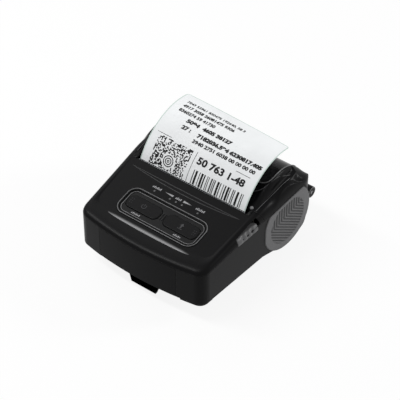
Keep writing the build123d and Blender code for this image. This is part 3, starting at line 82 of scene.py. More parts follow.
# Each lamp's own axes: away from the printer, along X as nearly as that allows, and across both
def placeLamps(lamps):
    for name, lamp in lamps.items():
        data = bpy.data.lights.new(name, "AREA")
        data.shape = "RECTANGLE"
        data.size, data.size_y = lamp["size"]
        data.energy = lamp["power"]
        away = np.array(lamp["place"]) / np.linalg.norm(lamp["place"])
        wide = np.array([1.0, 0.0, 0.0]) - away[0] * away
        wide /= np.linalg.norm(wide)
        turn = np.eye(4)
        turn[:3, :3] = np.stack([wide, np.cross(away, wide), away], -1)
        turn[:3, 3] = lamp["place"]
        addObject(name, data).matrix_world = Matrix(turn.tolist())


# Adds a shader node: inputs are set to values or linked to sockets, settings are its own switches
def addNode(tree, kind, inputs=None, **settings):
    node = tree.nodes.new("ShaderNode" + kind)
    for label, value in settings.items():
        setattr(node, label, value)
    for label, value in (inputs or {}).items():
        if isinstance(value, bpy.types.NodeSocket):
            tree.links.new(value, node.inputs[label])
        else:
            node.inputs[label].default_value = value
    return node


def mathNode(tree, operation, first, second=0.0, third=0.0, clamp=False):
    values = {0: first, 1: second, 2: third}
    return addNode(tree, "Math", values, operation=operation, use_clamp=clamp).outputs[0]


def newPaint(name):
    paint = bpy.data.materials.new(name)
    paint.use_nodes = True
    return paint, paint.node_tree


# 1 for a ray that shows the backdrop itself, seen straight, mirrored or through something clear
def seenRay(tree):
    path = addNode(tree, "LightPath").outputs
    straight = mathNode(tree, "MAXIMUM", path["Is Camera Ray"], path["Is Glossy Ray"])
    return mathNode(tree, "MAXIMUM", straight, path["Is Transmission Ray"])


def mixedOutput(tree, kind, share, first, second):
    mix = addNode(tree, "MixShader", {0: share, 1: first.outputs[0], 2: second.outputs[0]})
    addNode(tree, kind, {0: mix.outputs[0]})


def makeBackdrop(look):
    world = bpy.data.worlds.new("studioWhite")
    world.use_nodes = True
    tree = world.node_tree
    tree.nodes.clear()
    shown = addNode(tree, "Background", {"Color": look["white"]})
    lighting = addNode(tree, "Background", {"Strength": look["ambient"], "Color": look["white"]})
    mixedOutput(tree, "OutputWorld", seenRay(tree), lighting, shown)
    bpy.context.scene.world = world

    h, z = look["floorHalf"], look["floorDrop"]
    mesh = bpy.data.meshes.new("studioFloor")
    mesh.from_pydata([(-h, -h, z), (h, -h, z), (h, h, z), (-h, h, z)], [], [(0, 1, 2, 3)])
    floor = addObject("studioFloor", mesh)
    paint, tree = newPaint("paleFloor")
    tree.nodes.clear()
    matt = addNode(tree, "BsdfDiffuse", {"Color": look["floorColour"]})
    glow = addNode(tree, "Emission")
    share = mathNode(tree, "MULTIPLY", seenRay(tree), look["whiteShare"])
    mixedOutput(tree, "OutputMaterial", share, matt, glow)
    mesh.materials.append(paint)


placeLamps(studioLamps)
makeBackdrop(backdropLook)
bpy.context.scene.view_settings.view_transform = "Standard"
print("camera, lamps and backdrop placed")


# Shared effects, each built once as a node group
def newGroup(name, inputs, outputs):
    tree = bpy.data.node_groups.new(name, "ShaderNodeTree")
    for label, value in inputs.items():
        socket = tree.interface.new_socket(name=label, in_out="INPUT", socket_type="NodeSocketFloat")
        socket.default_value = value
    for label, kind in outputs.items():
        tree.interface.new_socket(name=label, in_out="OUTPUT", socket_type="NodeSocket" + kind)
    given = tree.nodes.new("NodeGroupInput").outputs
    place = addNode(tree, "TexCoord").outputs["Object"]
    return tree, given, tree.nodes.new("NodeGroupOutput").inputs, place


def noise(tree, place, scale, detail):
    return addNode(tree, "TexNoise", {"Vector": place, "Scale": scale, "Detail": detail}).outputs["Fac"]


# Moulded grain: coarse cells and fine noise added as 0.6 coarse + 0.4 fine
def makeGrain():
    tree, given, out, place = newGroup("mouldedGrain", dict(Scale=2200.0),
                                       dict(Height="Float", Mottle="Float"))
    coarse = addNode(tree, "TexVoronoi", {"Vector": place, "Scale": given["Scale"]})
    fine = noise(tree, place, mathNode(tree, "MULTIPLY", given["Scale"], 2.3), 3.0)
    cells = mathNode(tree, "MULTIPLY", coarse.outputs["Distance"], 0.6)
    tree.links.new(mathNode(tree, "ADD", cells, mathNode(tree, "MULTIPLY", fine, 0.4)), out["Height"])
    tree.links.new(noise(tree, place, 45.0, 4.0), out["Mottle"])
    return tree


# Edge wear: where the normal rounded over the radius leaves the true one, broken up by noise
def makeEdgeWear():
    tree, given, out, place = newGroup("edgeWear", dict(Radius=0.0004, Amount=0.5),
                                       dict(Mask="Float", Normal="Vector"))
    rounded = addNode(tree, "Bevel", {"Radius": given["Radius"]}, samples=6).outputs["Normal"]
    surface = addNode(tree, "NewGeometry").outputs["Normal"]
    dot = addNode(tree, "VectorMath", {0: rounded, 1: surface}, operation="DOT_PRODUCT").outputs["Value"]
    patches = noise(tree, place, 130.0, 6.0)
    turned = mathNode(tree, "SUBTRACT", 1.0, dot)
    strong = mathNode(tree, "MULTIPLY", turned, 3.0, clamp=True)
    broken = mathNode(tree, "MULTIPLY", strong, mathNode(tree, "MULTIPLY", patches, 1.6))
    tree.links.new(mathNode(tree, "MULTIPLY", broken, given["Amount"], clamp=True), out["Mask"])
    tree.links.new(rounded, out["Normal"])
    return tree


# Dust: a soft noise, kept to faces that look upwards
def makeDust():
    tree, given, out, place = newGroup("settledDust", dict(Scale=60.0, Amount=0.1), dict(Mask="Float"))
    surface = addNode(tree, "NewGeometry").outputs["Normal"]
    split = addNode(tree, "SeparateXYZ", {0: surface}).outputs
    upward = mathNode(tree, "MAXIMUM", split["Z"])
    film = mathNode(tree, "MULTIPLY", upward, noise(tree, place, given["Scale"], 8.0))
    tree.links.new(mathNode(tree, "MULTIPLY", film, given["Amount"]), out["Mask"])
    return tree


# Brushing: noise drawn out along X by the stretch
def makeBrushing():
    tree, given, out, place = newGroup("brushedLines", dict(Scale=900.0, Stretch=0.04), dict(Height="Float"))
    split = addNode(tree, "SeparateXYZ", {0: place}).outputs
    drawn = mathNode(tree, "MULTIPLY", split["X"], given["Stretch"])
    join = addNode(tree, "CombineXYZ", {"X": drawn, "Y": split["Y"], "Z": split["Z"]}).outputs[0]
    tree.links.new(noise(tree, join, given["Scale"], 5.0), out["Height"])
    return tree


grainGroup, wearGroup, dustGroup, brushGroup = makeGrain(), makeEdgeWear(), makeDust(), makeBrushing()
print("shared effects built")


# A screen colour, 0 to 255, as the linear colour that shows it
def linear(*screen):
    c = np.array(screen, float) / 255.0
    return tuple(np.where(c <= 0.04045, c / 12.92, ((c + 0.055) / 1.055) ** 2.4)) + (1.0,)


# One row for each plastic, rubber or paper slot of the part: colour on screen, colour of worn edges,
# roughness and how much it varies, grain scale and depth in mm, wear, specular level, rounding of
# edges in mm and dust; on the bezel the pale worn colour and strong wear also paint a highlight along its
# edges
finishKeys = ("colour", "wear_and_highlight", "rough", "vary", "grain", "depth", "wear", "shine", "rounding", "dust")
finishRows = {
    "case_plastic": ((7, 7, 8), (58, 58, 59), 0.33, 0.06, 2400, 0.010, 0.35, 0.07, 0.5, 0.002),
    "battery_plastic": ((12, 12, 13), (50, 50, 51), 0.36, 0.08, 2400, 0.012, 0.3, 0.05, 0.35, 0.002),
    "bezel_plastic": ((7, 7, 8), (96, 96, 97), 0.34, 0.08, 2600, 0.010, 0.8, 0.12, 0.4, 0.004),
    "button_plastic": ((7, 7, 8), (84, 84, 85), 0.34, 0.08, 2600, 0.010, 0.6, 0.08, 0.5, 0.004),
    "pad_rubber": ((99, 99, 100), (130, 130, 131), 0.62, 0.12, 1800, 0.025, 0.25, 0.22, 0.3, 0.02),
    "feet_rubber": ((22, 22, 22), (50, 50, 50), 0.85, 0.1, 1700, 0.04, 0.2, 0.2, 0.3, 0.1),
    "lever_plastic": ((86, 86, 87), (150, 150, 151), 0.38, 0.1, 2800, 0.012, 0.35, 0.25, 0.4, 0.03),
    "window_plastic": ((24, 24, 25), (50, 50, 51), 0.2, 0.03, 300, 0.0, 0.3, 0.08, 0.4, 0.002),
    "lamp_plastic": ((52, 52, 54), (140, 140, 142), 0.25, 0.05, 1500, 0.006, 0.1, 0.5, 0.15, 0.0),
    "inner_plastic": ((18, 18, 19), (60, 60, 61), 0.55, 0.1, 1800, 0.03, 0.2, 0.25, 0.3, 0.05),
    "gear_plastic": ((222, 218, 205), (240, 238, 230), 0.45, 0.08, 2600, 0.008, 0.2, 0.4, 0.1, 0.03),
    "bushing_plastic": ((205, 200, 185), (230, 228, 220), 0.5, 0.08, 2400, 0.01, 0.2, 0.35, 0.15, 0.03),
    "roller_rubber": ((38, 38, 40), (66, 66, 68), 0.62, 0.1, 2600, 0.012, 0.1, 0.3, 0.2, 0.05),
    # clip_plastic, darker than the case and without shine, is partly the clip's own black and partly painted
    # shade for the clip hanging in shadow
    "clip_plastic": ((1, 1, 1), (14, 14, 14), 0.5, 0.1, 2200, 0.02, 0.2, 0.0, 0.35, 0.001),
    "jack_plastic": ((18, 18, 19), (44, 44, 45), 0.4, 0.08, 2400, 0.01, 0.2, 0.3, 0.2, 0.0),
    "cell_wrap": ((36, 78, 120), (80, 120, 160), 0.28, 0.08, 800, 0.01, 0.1, 0.5, 0.2, 0.02),
    "label_paper": ((228, 230, 231), (205, 222, 214), 0.62, 0.06, 3200, 0.006, 0.0, 0.25, 0.05, 0.0),
    "core_board": ((168, 140, 104), (190, 165, 130), 0.85, 0.1, 900, 0.05, 0.3, 0.15, 0.2, 0.05),
    "chip_black": ((20, 20, 21), (60, 60, 61), 0.5, 0.08, 2600, 0.01, 0.1, 0.35, 0.1, 0.05),
    "head_ceramic": ((196, 190, 180), (220, 216, 208), 0.3, 0.06, 2600, 0.004, 0.1, 0.5, 0.1, 0.02),
}
finishes = {name: dict(zip(finishKeys, row)) for name, row in finishRows.items()}
# The same for metals: colour, roughness, scale and stretch of the brushing, its depth, rounding of edges
metalKeys = ("colour", "rough", "scale", "stretch", "depth", "rounding")
metalRows = {
    "shaft_steel": ((186, 187, 190), 0.22, 1500, 1.0, 0.004, 0.1),
    "sheet_steel": ((160, 162, 165), 0.34, 900, 0.05, 0.008, 0.15),
    "spring_steel": ((176, 178, 182), 0.26, 1200, 0.3, 0.004, 0.1),
    "motor_steel": ((150, 152, 155), 0.3, 900, 0.05, 0.006, 0.2),
    "pinion_brass": ((206, 170, 96), 0.28, 1500, 0.5, 0.004, 0.08),
    "sink_aluminium": ((190, 192, 195), 0.4, 1000, 0.05, 0.01, 0.2),
    "socket_metal": ((178, 180, 184), 0.25, 1200, 0.4, 0.004, 0.1),
    "contact_metal": ((214, 180, 104), 0.22, 1500, 0.3, 0.003, 0.1),
    "screw_steel": ((88, 90, 94), 0.35, 1800, 1.0, 0.006, 0.12),
}
sharedLook = {"paler": 1.18, "dustColour": (150, 148, 145), "metalWear": 0.4, "metalEdge": 1.25,
              "metalVary": 0.2, "leastDepth": 0.001}
made = {}


def brighter(colour, factor):
    return tuple(min(1.0, c * factor) for c in colour[:3]) + (1.0,)


def groupNode(tree, group, **values):
    return addNode(tree, "Group", values, node_tree=group).outputs


def mixColour(tree, factor, first, second):
    values = {"Factor": factor, "A": first, "B": second}
    return addNode(tree, "Mix", values, data_type="RGBA").outputs["Result"]


# Gives the shader its colour, a roughness of rough - vary / 2 + vary * noise, and the height as bump
def dressShader(tree, colour, noise, rough, vary, height, depth, normal):
    shader = tree.nodes["Principled BSDF"]
    tree.links.new(colour, shader.inputs["Base Color"])
    tree.links.new(mathNode(tree, "MULTIPLY_ADD", noise, vary, rough - vary / 2), shader.inputs["Roughness"])
    bump = addNode(tree, "Bump", {"Distance": depth * mm, "Height": height, "Normal": normal})
    tree.links.new(bump.outputs["Normal"], shader.inputs["Normal"])
    return shader


# Plastic, rubber and paper: colour from mottle, worn edges and dust, and grain as bump
def plasticMaterial(name, look):
    paint, tree = newPaint(name)
    grain = groupNode(tree, grainGroup, Scale=float(look["grain"]))
    wear = groupNode(tree, wearGroup, Radius=look["rounding"] * mm, Amount=look["wear"])
    dust = groupNode(tree, dustGroup, Amount=look["dust"])
    base = linear(*look["colour"])
    mottled = mixColour(tree, grain["Mottle"], base, brighter(base, sharedLook["paler"]))
    wear_and_highlight = mixColour(tree, wear["Mask"], mottled, linear(*look["wear_and_highlight"]))
    dusty = mixColour(tree, dust["Mask"], wear_and_highlight, linear(*sharedLook["dustColour"]))
    depth = max(look["depth"], sharedLook["leastDepth"])
    shader = dressShader(tree, dusty, grain["Mottle"], look["rough"], look["vary"], grain["Height"], depth,
                         wear["Normal"])
    shader.inputs["Specular IOR Level"].default_value = look["shine"]
    made[name] = paint
    return paint


# A finish of the part with some of its values changed
def variedPaint(name, finish, **changes):
    return plasticMaterial(name, dict(finishes[finish], **changes))


# Printed ink: one colour, no wear and no dust
def inkMaterial(name, colour, rough, shine, depth):
    return plasticMaterial(name, dict(colour=colour, wear_and_highlight=colour, rough=rough, vary=0.05, grain=3000,
                                      depth=depth, wear=0.0, shine=shine, rounding=0.02, dust=0.0))


# Blends the base colour towards another by the piece's own attribute, 0 to 1
def blendColour(paint, attribute, other):
    tree = paint.node_tree
    base = tree.nodes["Principled BSDF"].inputs["Base Color"]
    before = base.links[0].from_socket
    read = addNode(tree, "Attribute", attribute_name=attribute)
    tree.links.new(mixColour(tree, read.outputs["Fac"], before, linear(*other)), base)


# Metal: brushing as bump and as a change of roughness
def metalMaterial(name, look):
    paint, tree = newPaint(name)
    brushed = groupNode(tree, brushGroup, Scale=float(look["scale"]), Stretch=look["stretch"])["Height"]
    wear = groupNode(tree, wearGroup, Radius=look["rounding"] * mm, Amount=sharedLook["metalWear"])
    base = linear(*look["colour"])
    colour = mixColour(tree, wear["Mask"], base, brighter(base, sharedLook["metalEdge"]))
    shader = dressShader(tree, colour, brushed, look["rough"], sharedLook["metalVary"], brushed,
                         look["depth"], wear["Normal"])
    shader.inputs["Metallic"].default_value = 1.0
    made[name] = paint


boardLook = {"mask": (20, 66, 40), "track": (34, 96, 58), "wear_and_highlight": (90, 120, 90), "scale": 420.0, "gap": 0.06}


# Circuit board: brick courses stand for the tracks under the green mask
def boardMaterial(name, look):
    paint = plasticMaterial(name, dict(colour=look["mask"], wear_and_highlight=look["wear_and_highlight"], rough=0.35, vary=0.05,
                                       grain=2600, depth=0.004, wear=0.1, shine=0.5, rounding=0.1, dust=0.02))
    tree = paint.node_tree
    mask = linear(*look["mask"])
    tracks = addNode(tree, "TexBrick", {"Scale": look["scale"], "Mortar Size": look["gap"], "Color1": mask,
                                        "Color2": mask, "Mortar": linear(*look["track"]),
                                        "Vector": addNode(tree, "TexCoord").outputs["Object"]})
    tree.links.new(tracks.outputs["Color"], tree.nodes["Principled BSDF"].inputs["Base Color"])


for slotName, look in finishes.items():
    plasticMaterial(slotName, look)
for slotName, row in metalRows.items():
    metalMaterial(slotName, dict(zip(metalKeys, row)))
boardMaterial("board_green", boardLook)
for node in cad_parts.values():
    for holder in node.material_slots:
        holder.material = made[holder.material.name.split(".")[0]]
print("materials on all", len(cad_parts), "nodes")


# Faces of a grid of rows x columns points, wound so that row x column is the outward side
def gridFaces(rows, columns, start=0, flip=False, wrap=False):
    r, c = np.meshgrid(np.arange(rows - 1), np.arange(columns if wrap else columns - 1), indexing="ij")
    a = start + r * columns + c
    b = start + r * columns + (c + 1) % columns
    quads = np.stack([a, b, b + columns, a + columns], axis=-1).reshape(-1, 4)
    return quads[:, ::-1] if flip else quads


# Puts points in mm, in an array of any shape, and faces into an object that rides on a body
def makePiece(name, points, faces, paint, body, smooth=30.0, outward=True):
    mesh = bpy.data.meshes.new(name)
    spots = (np.asarray(points) * mm).reshape(-1, 3)
    mesh.from_pydata(spots.tolist(), [], [tuple(int(i) for i in f) for f in faces])
    if outward:
        shell = bmesh.new()
        shell.from_mesh(mesh)
        bmesh.ops.remove_doubles(shell, verts=shell.verts, dist=1e-7)
        bmesh.ops.recalc_face_normals(shell, faces=shell.faces)
        shell.to_mesh(mesh)
        shell.free()
    mesh.shade_smooth()
    mesh.set_sharp_from_angle(angle=math.radians(smooth))
    mesh.materials.append(paint)
    piece = addObject(name, mesh)
    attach(piece, body)
    return piece


# Points of a mesh, in its own unit
def meshPoints(mesh):
    points = np.empty(len(mesh.vertices) * 3)
    mesh.vertices.foreach_get("co", points)
    return points.reshape(-1, 3)


def pointAttribute(piece, name, values):
    piece.data.attributes.new(name, "FLOAT", "POINT").data.foreach_set("value", values)


# Angles of a full turn, without its end
def fullTurn(count):
    return np.linspace(0, 2 * np.pi, count, endpoint=False)


# Two grids of the same shape, joined round their border by a wall
def slabFaces(rows, columns):
    count = rows * columns
    top = gridFaces(rows, columns)
    low = gridFaces(rows, columns, count, flip=True)
    ring = np.concatenate([np.arange(columns - 1), np.arange(rows - 1) * columns + columns - 1,
                           count - 1 - np.arange(columns - 1), (rows - 1 - np.arange(rows - 1)) * columns])
    after = np.roll(ring, -1)
    wall = np.stack([ring, ring + count, after + count, after], axis=-1)
    return np.concatenate([top, low, wall])


# Faces of a tube of rows rings of columns points, with a cap at each end
def tubeFaces(rows, columns):
    last = range((rows - 1) * columns, rows * columns)
    return [*gridFaces(rows, columns, wrap=True), range(columns), last[::-1]]


# A closed profile (across, up) carried along a path; side and up are unit vectors at each point
def sweepPiece(path, side, up, profile):
    across, lifted = profile[:, 0:1] * side[:, None, :], profile[:, 1:2] * up[:, None, :]
    return path[:, None, :] + across + lifted, tubeFaces(len(path), len(profile))


# Lines of the casing in mm: a place in y, the value there, and its climb for each mm of y
casingLines = {"side": (-75.35, 66.0, 0.0615), "seam": (-81.95, 52.0, 0.11), "panel": (-65.95, 58.3, 0.187)}
sideClimb, seamClimb, panelClimb = (casingLines[name][2] for name in ("side", "seam", "panel"))
panelSlope = math.atan(panelClimb)
panelUp = np.array([0.0, -math.sin(panelSlope), math.cos(panelSlope)])
panelPlane = np.array([(1.0, 0.0, 0.0), (0.0, math.cos(panelSlope), math.sin(panelSlope))])


# Value of one of the casing's lines: value + climb (y - place)
def casingLine(name, y):
    place, value, climb = casingLines[name]
    return value + climb * (y - place)


# Point of the control panel at x and y, lifted square to it
def onPanel(x, y, lift=0.0):
    x, y = np.broadcast_arrays(np.asarray(x, float), np.asarray(y, float))
    return np.stack([x, y, casingLine("panel", y)], axis=-1) + lift * panelUp


# Side pads: a smooth border round a field of ribs that meet on a crease; the ribs' hollows are darkened as
# painted shade
padLook = {"centre": (33.0, 44.0), "earCentre": (35.05, 42.0), "earRadius": 30.9, "frontEdge": 5.15,
           "topDrop": 1.7, "proud": 0.7, "thickness": 1.5, "fieldCentre": (34.8, 40.4), "fieldRadius": 23.0,
           "fieldTop": 2.0, "fieldFade": 1.4, "ribPitch": 2.6, "uprightPitch": 3.3, "creaseAt": (34.6, 47.0),
           "ribRise": (0.588, 0.809), "ribDepth": 0.6, "cornerPower": 70.0, "edgeRun": 0.8, "shade": 0.85,
           "ribShadeColour": (14, 14, 14), "around": 432, "rings": 88, "ringPower": 0.8, "reach": 74.86}
ribbedRubber = variedPaint("ribbed_rubber", "pad_rubber")
blendColour(ribbedRubber, "painted_rib_shade", padLook["ribShadeColour"])


# Distance from the centre to the outline at each angle: the least of circle, front edge and top edge,
# taken softly as (a^-n + b^-n + c^-n)^(-1/n)
def padReach(angle, look):
    cy, cz = look["centre"]
    ey, ez = look["earCentre"]
    dy, dz = np.cos(angle), np.sin(angle)
    b = dy * (cy - ey) + dz * (cz - ez)
    c = (cy - ey) ** 2 + (cz - ez) ** 2 - look["earRadius"] ** 2
    circle = -b + np.sqrt(b * b - c)
    front = np.where(dy < -1e-6, (look["frontEdge"] - cy) / np.minimum(dy, -1e-6), 1e3)
    climb = dz - seamClimb * dy
    room = casingLine("seam", cy) - look["topDrop"] - cz
    top = np.where(climb > 1e-6, room / np.maximum(climb, 1e-6), 1e3)
    n = look["cornerPower"]
    return (circle ** -n + front ** -n + top ** -n) ** (-1 / n)


# Rib height: -depth (1 - cos 2 pi f) / 2, where f is the lesser of the level ribs' count
# (rise . (y, z)) / pitch and the upright ribs' count y / upright pitch, from a point on the crease
def padRibs(y, z, look):
    fy, fz = look["fieldCentre"]
    cy, cz = look["creaseAt"]
    ry, rz = look["ribRise"]
    level = (ry * (y - cy) + rz * (z - cz)) / look["ribPitch"]
    upright = (y - cy) / look["uprightPitch"]
    count = np.minimum(level, upright)
    inside = look["fieldRadius"] - np.hypot(y - fy, z - fz)
    under = casingLine("seam", y) - look["topDrop"] - look["fieldTop"] - z
    mask = np.clip(np.minimum(inside, under) / look["fieldFade"], 0.0, 1.0)
    return -look["ribDepth"] * mask * (0.5 - 0.5 * np.cos(2 * np.pi * count))


# Face of a pad: (centre + share reach (cos t, sin t)) in y and z, and x = side (half width + proud -
# quarter round at the edge + rib height); its border runs back into the casing
def makePad(name, side, look):
    angle = fullTurn(look["around"])
    share = np.linspace(0, 1, look["rings"]) ** look["ringPower"]
    reach = padReach(angle, look)
    y = look["centre"][0] + share[:, None] * reach * np.cos(angle)
    z = look["centre"][1] + share[:, None] * reach * np.sin(angle)
    edge = np.clip((1 - share[:, None]) * reach / look["edgeRun"], 0.0, 1.0)
    shoulder = look["proud"] * (np.sqrt(1 - (1 - edge) ** 2) - 1)
    face = np.minimum(casingLine("side", y) + look["proud"], look["reach"])
    x = side * (face + shoulder + padRibs(y, z, look))
    back = side * (casingLine("side", y[-1]) - look["thickness"])
    middle = side * (casingLine("side", look["centre"][0]) - look["thickness"])
    points = np.concatenate([np.stack([x, y, z], -1).reshape(-1, 3), np.stack([back, y[-1], z[-1]], -1),
                             [[middle, *look["centre"]]]])
    rows, columns = look["rings"] + 1, look["around"]
    last = (rows - 1) * columns
    step = np.arange(columns)
    fan = np.stack([last + step, last + (step + 1) % columns, np.full(columns, rows * columns)], -1)
    faces = [*gridFaces(rows, columns, wrap=True), *fan]
    piece = makePiece(name, points, faces, ribbedRubber, "housing", 50.0)
    # Painted shade: each point is darkened by the depth of its rib hollow
    spots = meshPoints(piece.data) / mm
    depth = -padRibs(spots[:, 1], spots[:, 2], look) / look["ribDepth"]
    pointAttribute(piece, "painted_rib_shade", depth * look["shade"])
    return piece


for padName, padSide in (("side_pad_right", 1), ("side_pad_left", -1)):
    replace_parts(makePad("ribbed_" + padName, padSide, padLook), padName)
print("side pads ribbed")

# Label: the sheet out of the slot, an arc about a line across the printer
labelLook = {"halfWidth": 56.0, "centre": (45.957, 44.666), "radius": 56.28, "slotAngle": 153.57,
             "freeAngle": 71.57, "thickness": 0.2, "columns": 57, "rows": 84, "corner": 3.2, "skew": 4.3,
             "sag": 2.3, "cutEdge": 1.0, "cutStep": 0.25, "cutColour": (190, 204, 198)}
labelRun = math.radians(labelLook["slotAngle"] - labelLook["freeAngle"]) * labelLook["radius"]
cutPaint = variedPaint("label_cut", "label_paper", colour=labelLook["cutColour"])


# Point at x and s mm from the free end along the arc: angle = free + (s + skew k) / radius, where
# k = (half + x) / 2 half (1 - s / run) is 1 at the free right corner, which hangs by sag k^2
def onLabel(x, s, lift, look=labelLook):
    x, s = np.broadcast_arrays(np.asarray(x, float), np.asarray(s, float))
    k = (0.5 + 0.5 * x / look["halfWidth"]) * (1 - s / labelRun)
    angle = math.radians(look["freeAngle"]) + (s + look["skew"] * k) / look["radius"]
    reach = look["radius"] + lift - look["sag"] * k ** 2
    cy, cz = look["centre"]
    return np.stack([x, cy + reach * np.cos(angle), cz + reach * np.sin(angle)], -1)


# The free corners are cut as quarter rounds: half width = half - corner + sqrt(corner^2 - (corner - s)^2)
def makeLabel(look):
    half, corner, cut = look["halfWidth"], look["corner"], look["cutEdge"]
    rows, columns = look["rows"], look["columns"]
    s = np.concatenate([[0, look["cutStep"]], np.linspace(cut, labelRun, rows - 2)])[:, None]
    x = np.linspace(-half, half, columns)[None, :]
    x[0, 1], x[0, -2] = -half + cut, half - cut
    short = np.clip(corner - s, 0, corner)
    x = x * (1 - (corner - np.sqrt(corner ** 2 - short ** 2)) / half)
    points = np.stack([onLabel(x, s, side * look["thickness"] / 2) for side in (1, -1)])
    faces = slabFaces(rows, columns)
    sheet = makePiece("label_sheet", points, faces, made["label_paper"], "lid", 40.0)
    sheet.data.materials.append(cutPaint)
    row, column = np.divmod(np.arange((rows - 1) * (columns - 1)), columns - 1)
    border = (row < 2) | (column == 0) | (column == columns - 2)
    wall = np.ones(len(faces) - 2 * len(border), bool)
    sheet.data.polygons.foreach_set("material_index", np.concatenate([border, border, wall]).astype(np.int32))
    return sheet


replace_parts(makeLabel(labelLook), "printed_label")

printLook = {"ink": (24, 24, 25), "lift": 0.03, "seed": 7, "dots": 34, "dotBlock": (-47.2, 53.2, 36.5),
             "dotShare": 0.5, "bareRadius": 6.2, "bareEnd": 0.3,
             "circles": ((4.3, 5.2), (2.3, 3.2), (0.5, 1.3)), "barcode": (-2.4, 50.8, 67.2, 80.2),
             "barWidths": [0.7, 0.9, 1.3, 2.0], "barCount": 70, "rule": (-50.6, 48.0, 51.4),
             "divider": (-7.0, 52.4, 80.2), "lineWidth": 0.45}
# Rows of plain numbers: text, x, s of the baseline, height, width, boldness
numberRows = [
    ("7043 52961 830475 192640, 58 3", -47.3, 14.0, 3.8, 63.5, 0.04),
    ("4917 3058 26081475 9306", -47.3, 19.8, 3.9, 56.0, 0.05),
    ("8360274 59 41730", -47.2, 26.0, 3.9, 39.4, 0.05),
    ("5094", -33.4, 33.4, 4.4, 14.0, 0.06),
    ("27 :", -33.6, 40.6, 4.2, 10.0, 0.06),
    ("4605 38127", -16.1, 33.4, 4.4, 31.5, 0.07),
    ("7182036.594 6230817.405", -16.0, 41.6, 4.5, 68.5, 0.07),
    ("3940 2751 6038 00 00 00 00", -17.0, 47.6, 3.9, 66.5, 0.05),
    ("50 763 1-48", -3.4, 62.2, 7.2, 49.5, 0.04),
]
inkPaint = inkMaterial("print_ink", printLook["ink"], 0.6, 0.15, 0.003)


# Quads from x0 to x1 and s0 to s1, cut into strips along s so that they follow the arc
def inkBars(bars, lift, strips=1):
    bars = np.asarray(bars, float)
    part = np.linspace(0, 1, strips + 1)
    s = bars[:, 1:2] + (bars[:, 3:4] - bars[:, 1:2]) * part
    points = np.stack([onLabel(bars[:, k:k + 1], s, lift) for k in (0, 2)], axis=2)
    first = (np.arange(len(bars)) * (strips + 1) * 2)[:, None] + np.arange(strips) * 2
    faces = np.stack([first, first + 2, first + 3, first + 1], -1).reshape(-1, 4)
    return points, faces


# Outline of a number as flat points and faces, from Blender's own font
def numberShape(text, height, width, bold):
    curve = bpy.data.curves.new("numberCurve", "FONT")
    curve.body = text
    curve.offset = bold
    curve.resolution_u = 3
    holder = addObject("numberCurve", curve)
    mesh = bpy.data.meshes.new_from_object(holder)
    flat = meshPoints(mesh)[:, :2]
    faces = [tuple(p.vertices) for p in mesh.polygons]
    low, high = flat.min(0), flat.max(0)
    flat = (flat - low) / (high - low) * np.array([width, height])
    bpy.data.objects.remove(holder)
    bpy.data.curves.remove(curve)
    bpy.data.meshes.remove(mesh)
    return flat, faces


# Ring or part ring on a surface: points at the inner and outer radius for each angle
def flatRing(surface, x, y, inner, outer, lift, start=0, end=360, count=33):
    turn = np.radians(np.linspace(start, end, count))
    rows = [surface(x + k * np.cos(turn), y + k * np.sin(turn), lift) for k in (inner, outer)]
    return np.stack(rows), gridFaces(2, count, flip=True)


# Flat shapes gathered into one piece
class InkLayer:
    def __init__(self):
        self.points, self.faces, self.count = [], [], 0

    def add(self, points, faces):
        self.points.append(np.asarray(points).reshape(-1, 3))
        self.faces += [tuple(int(i) + self.count for i in f) for f in faces]
        self.count += len(self.points[-1])

    def piece(self, name, paint, body, slotName):
        makePiece(name, np.concatenate(self.points), self.faces, paint, body, outward=False)


# Print, each shape laid on the arc by onLabel: number rows; a block of dots, on where a random number
# is under the share and the place is clear of the middle; rings; bars between running sums; two lines
def printLabel(look):
    ink = InkLayer()
    rng = np.random.default_rng(look["seed"])
    lift = labelLook["thickness"] / 2 + look["lift"]
    for text, x, base, height, width, bold in numberRows:
        flat, faces = numberShape(text, height, width, bold)
        clear = lift + height ** 2 / (8 * labelLook["radius"])
        ink.add(onLabel(x + flat[:, 0], base - flat[:, 1], clear), [f[::-1] for f in faces])
    x0, s0, size = look["dotBlock"]
    n = look["dots"]
    cell = size / n
    row, column = np.meshgrid(np.arange(n), np.arange(n), indexing="ij")
    away = np.hypot(row - n / 2 + 0.5, column - n / 2 + 0.5)
    on = (rng.random((n, n)) < look["dotShare"]) & (away > look["bareRadius"])
    on &= s0 + (row + 1) * cell < labelRun - look["bareEnd"]
    left, near = x0 + column[on] * cell, s0 + row[on] * cell
    ink.add(*inkBars(np.stack([left, near, left + cell, near + cell], -1), lift))
    for radii in look["circles"]:
        ink.add(*flatRing(onLabel, x0 + size / 2, s0 + size / 2, *radii, lift, count=49))
    x0, x1, s0, s1 = look["barcode"]
    edges = x0 + np.cumsum([0, *rng.choice(look["barWidths"], look["barCount"])])
    edges = edges[edges < x1]
    pairs = edges[: len(edges) // 2 * 2].reshape(-1, 2)
    ink.add(*inkBars([(a, s0, b, s1) for a, b in pairs], lift, 12))
    a, b, s = look["rule"]
    ink.add(*inkBars([[a, s, b, s + look["lineWidth"]]], lift))
    x, a, b = look["divider"]
    ink.add(*inkBars([[x, a, x + look["lineWidth"], b]], lift, 16))
    ink.piece("label_print", inkPaint, "lid", "label_paper")


printLabel(printLook)
print("label printed")

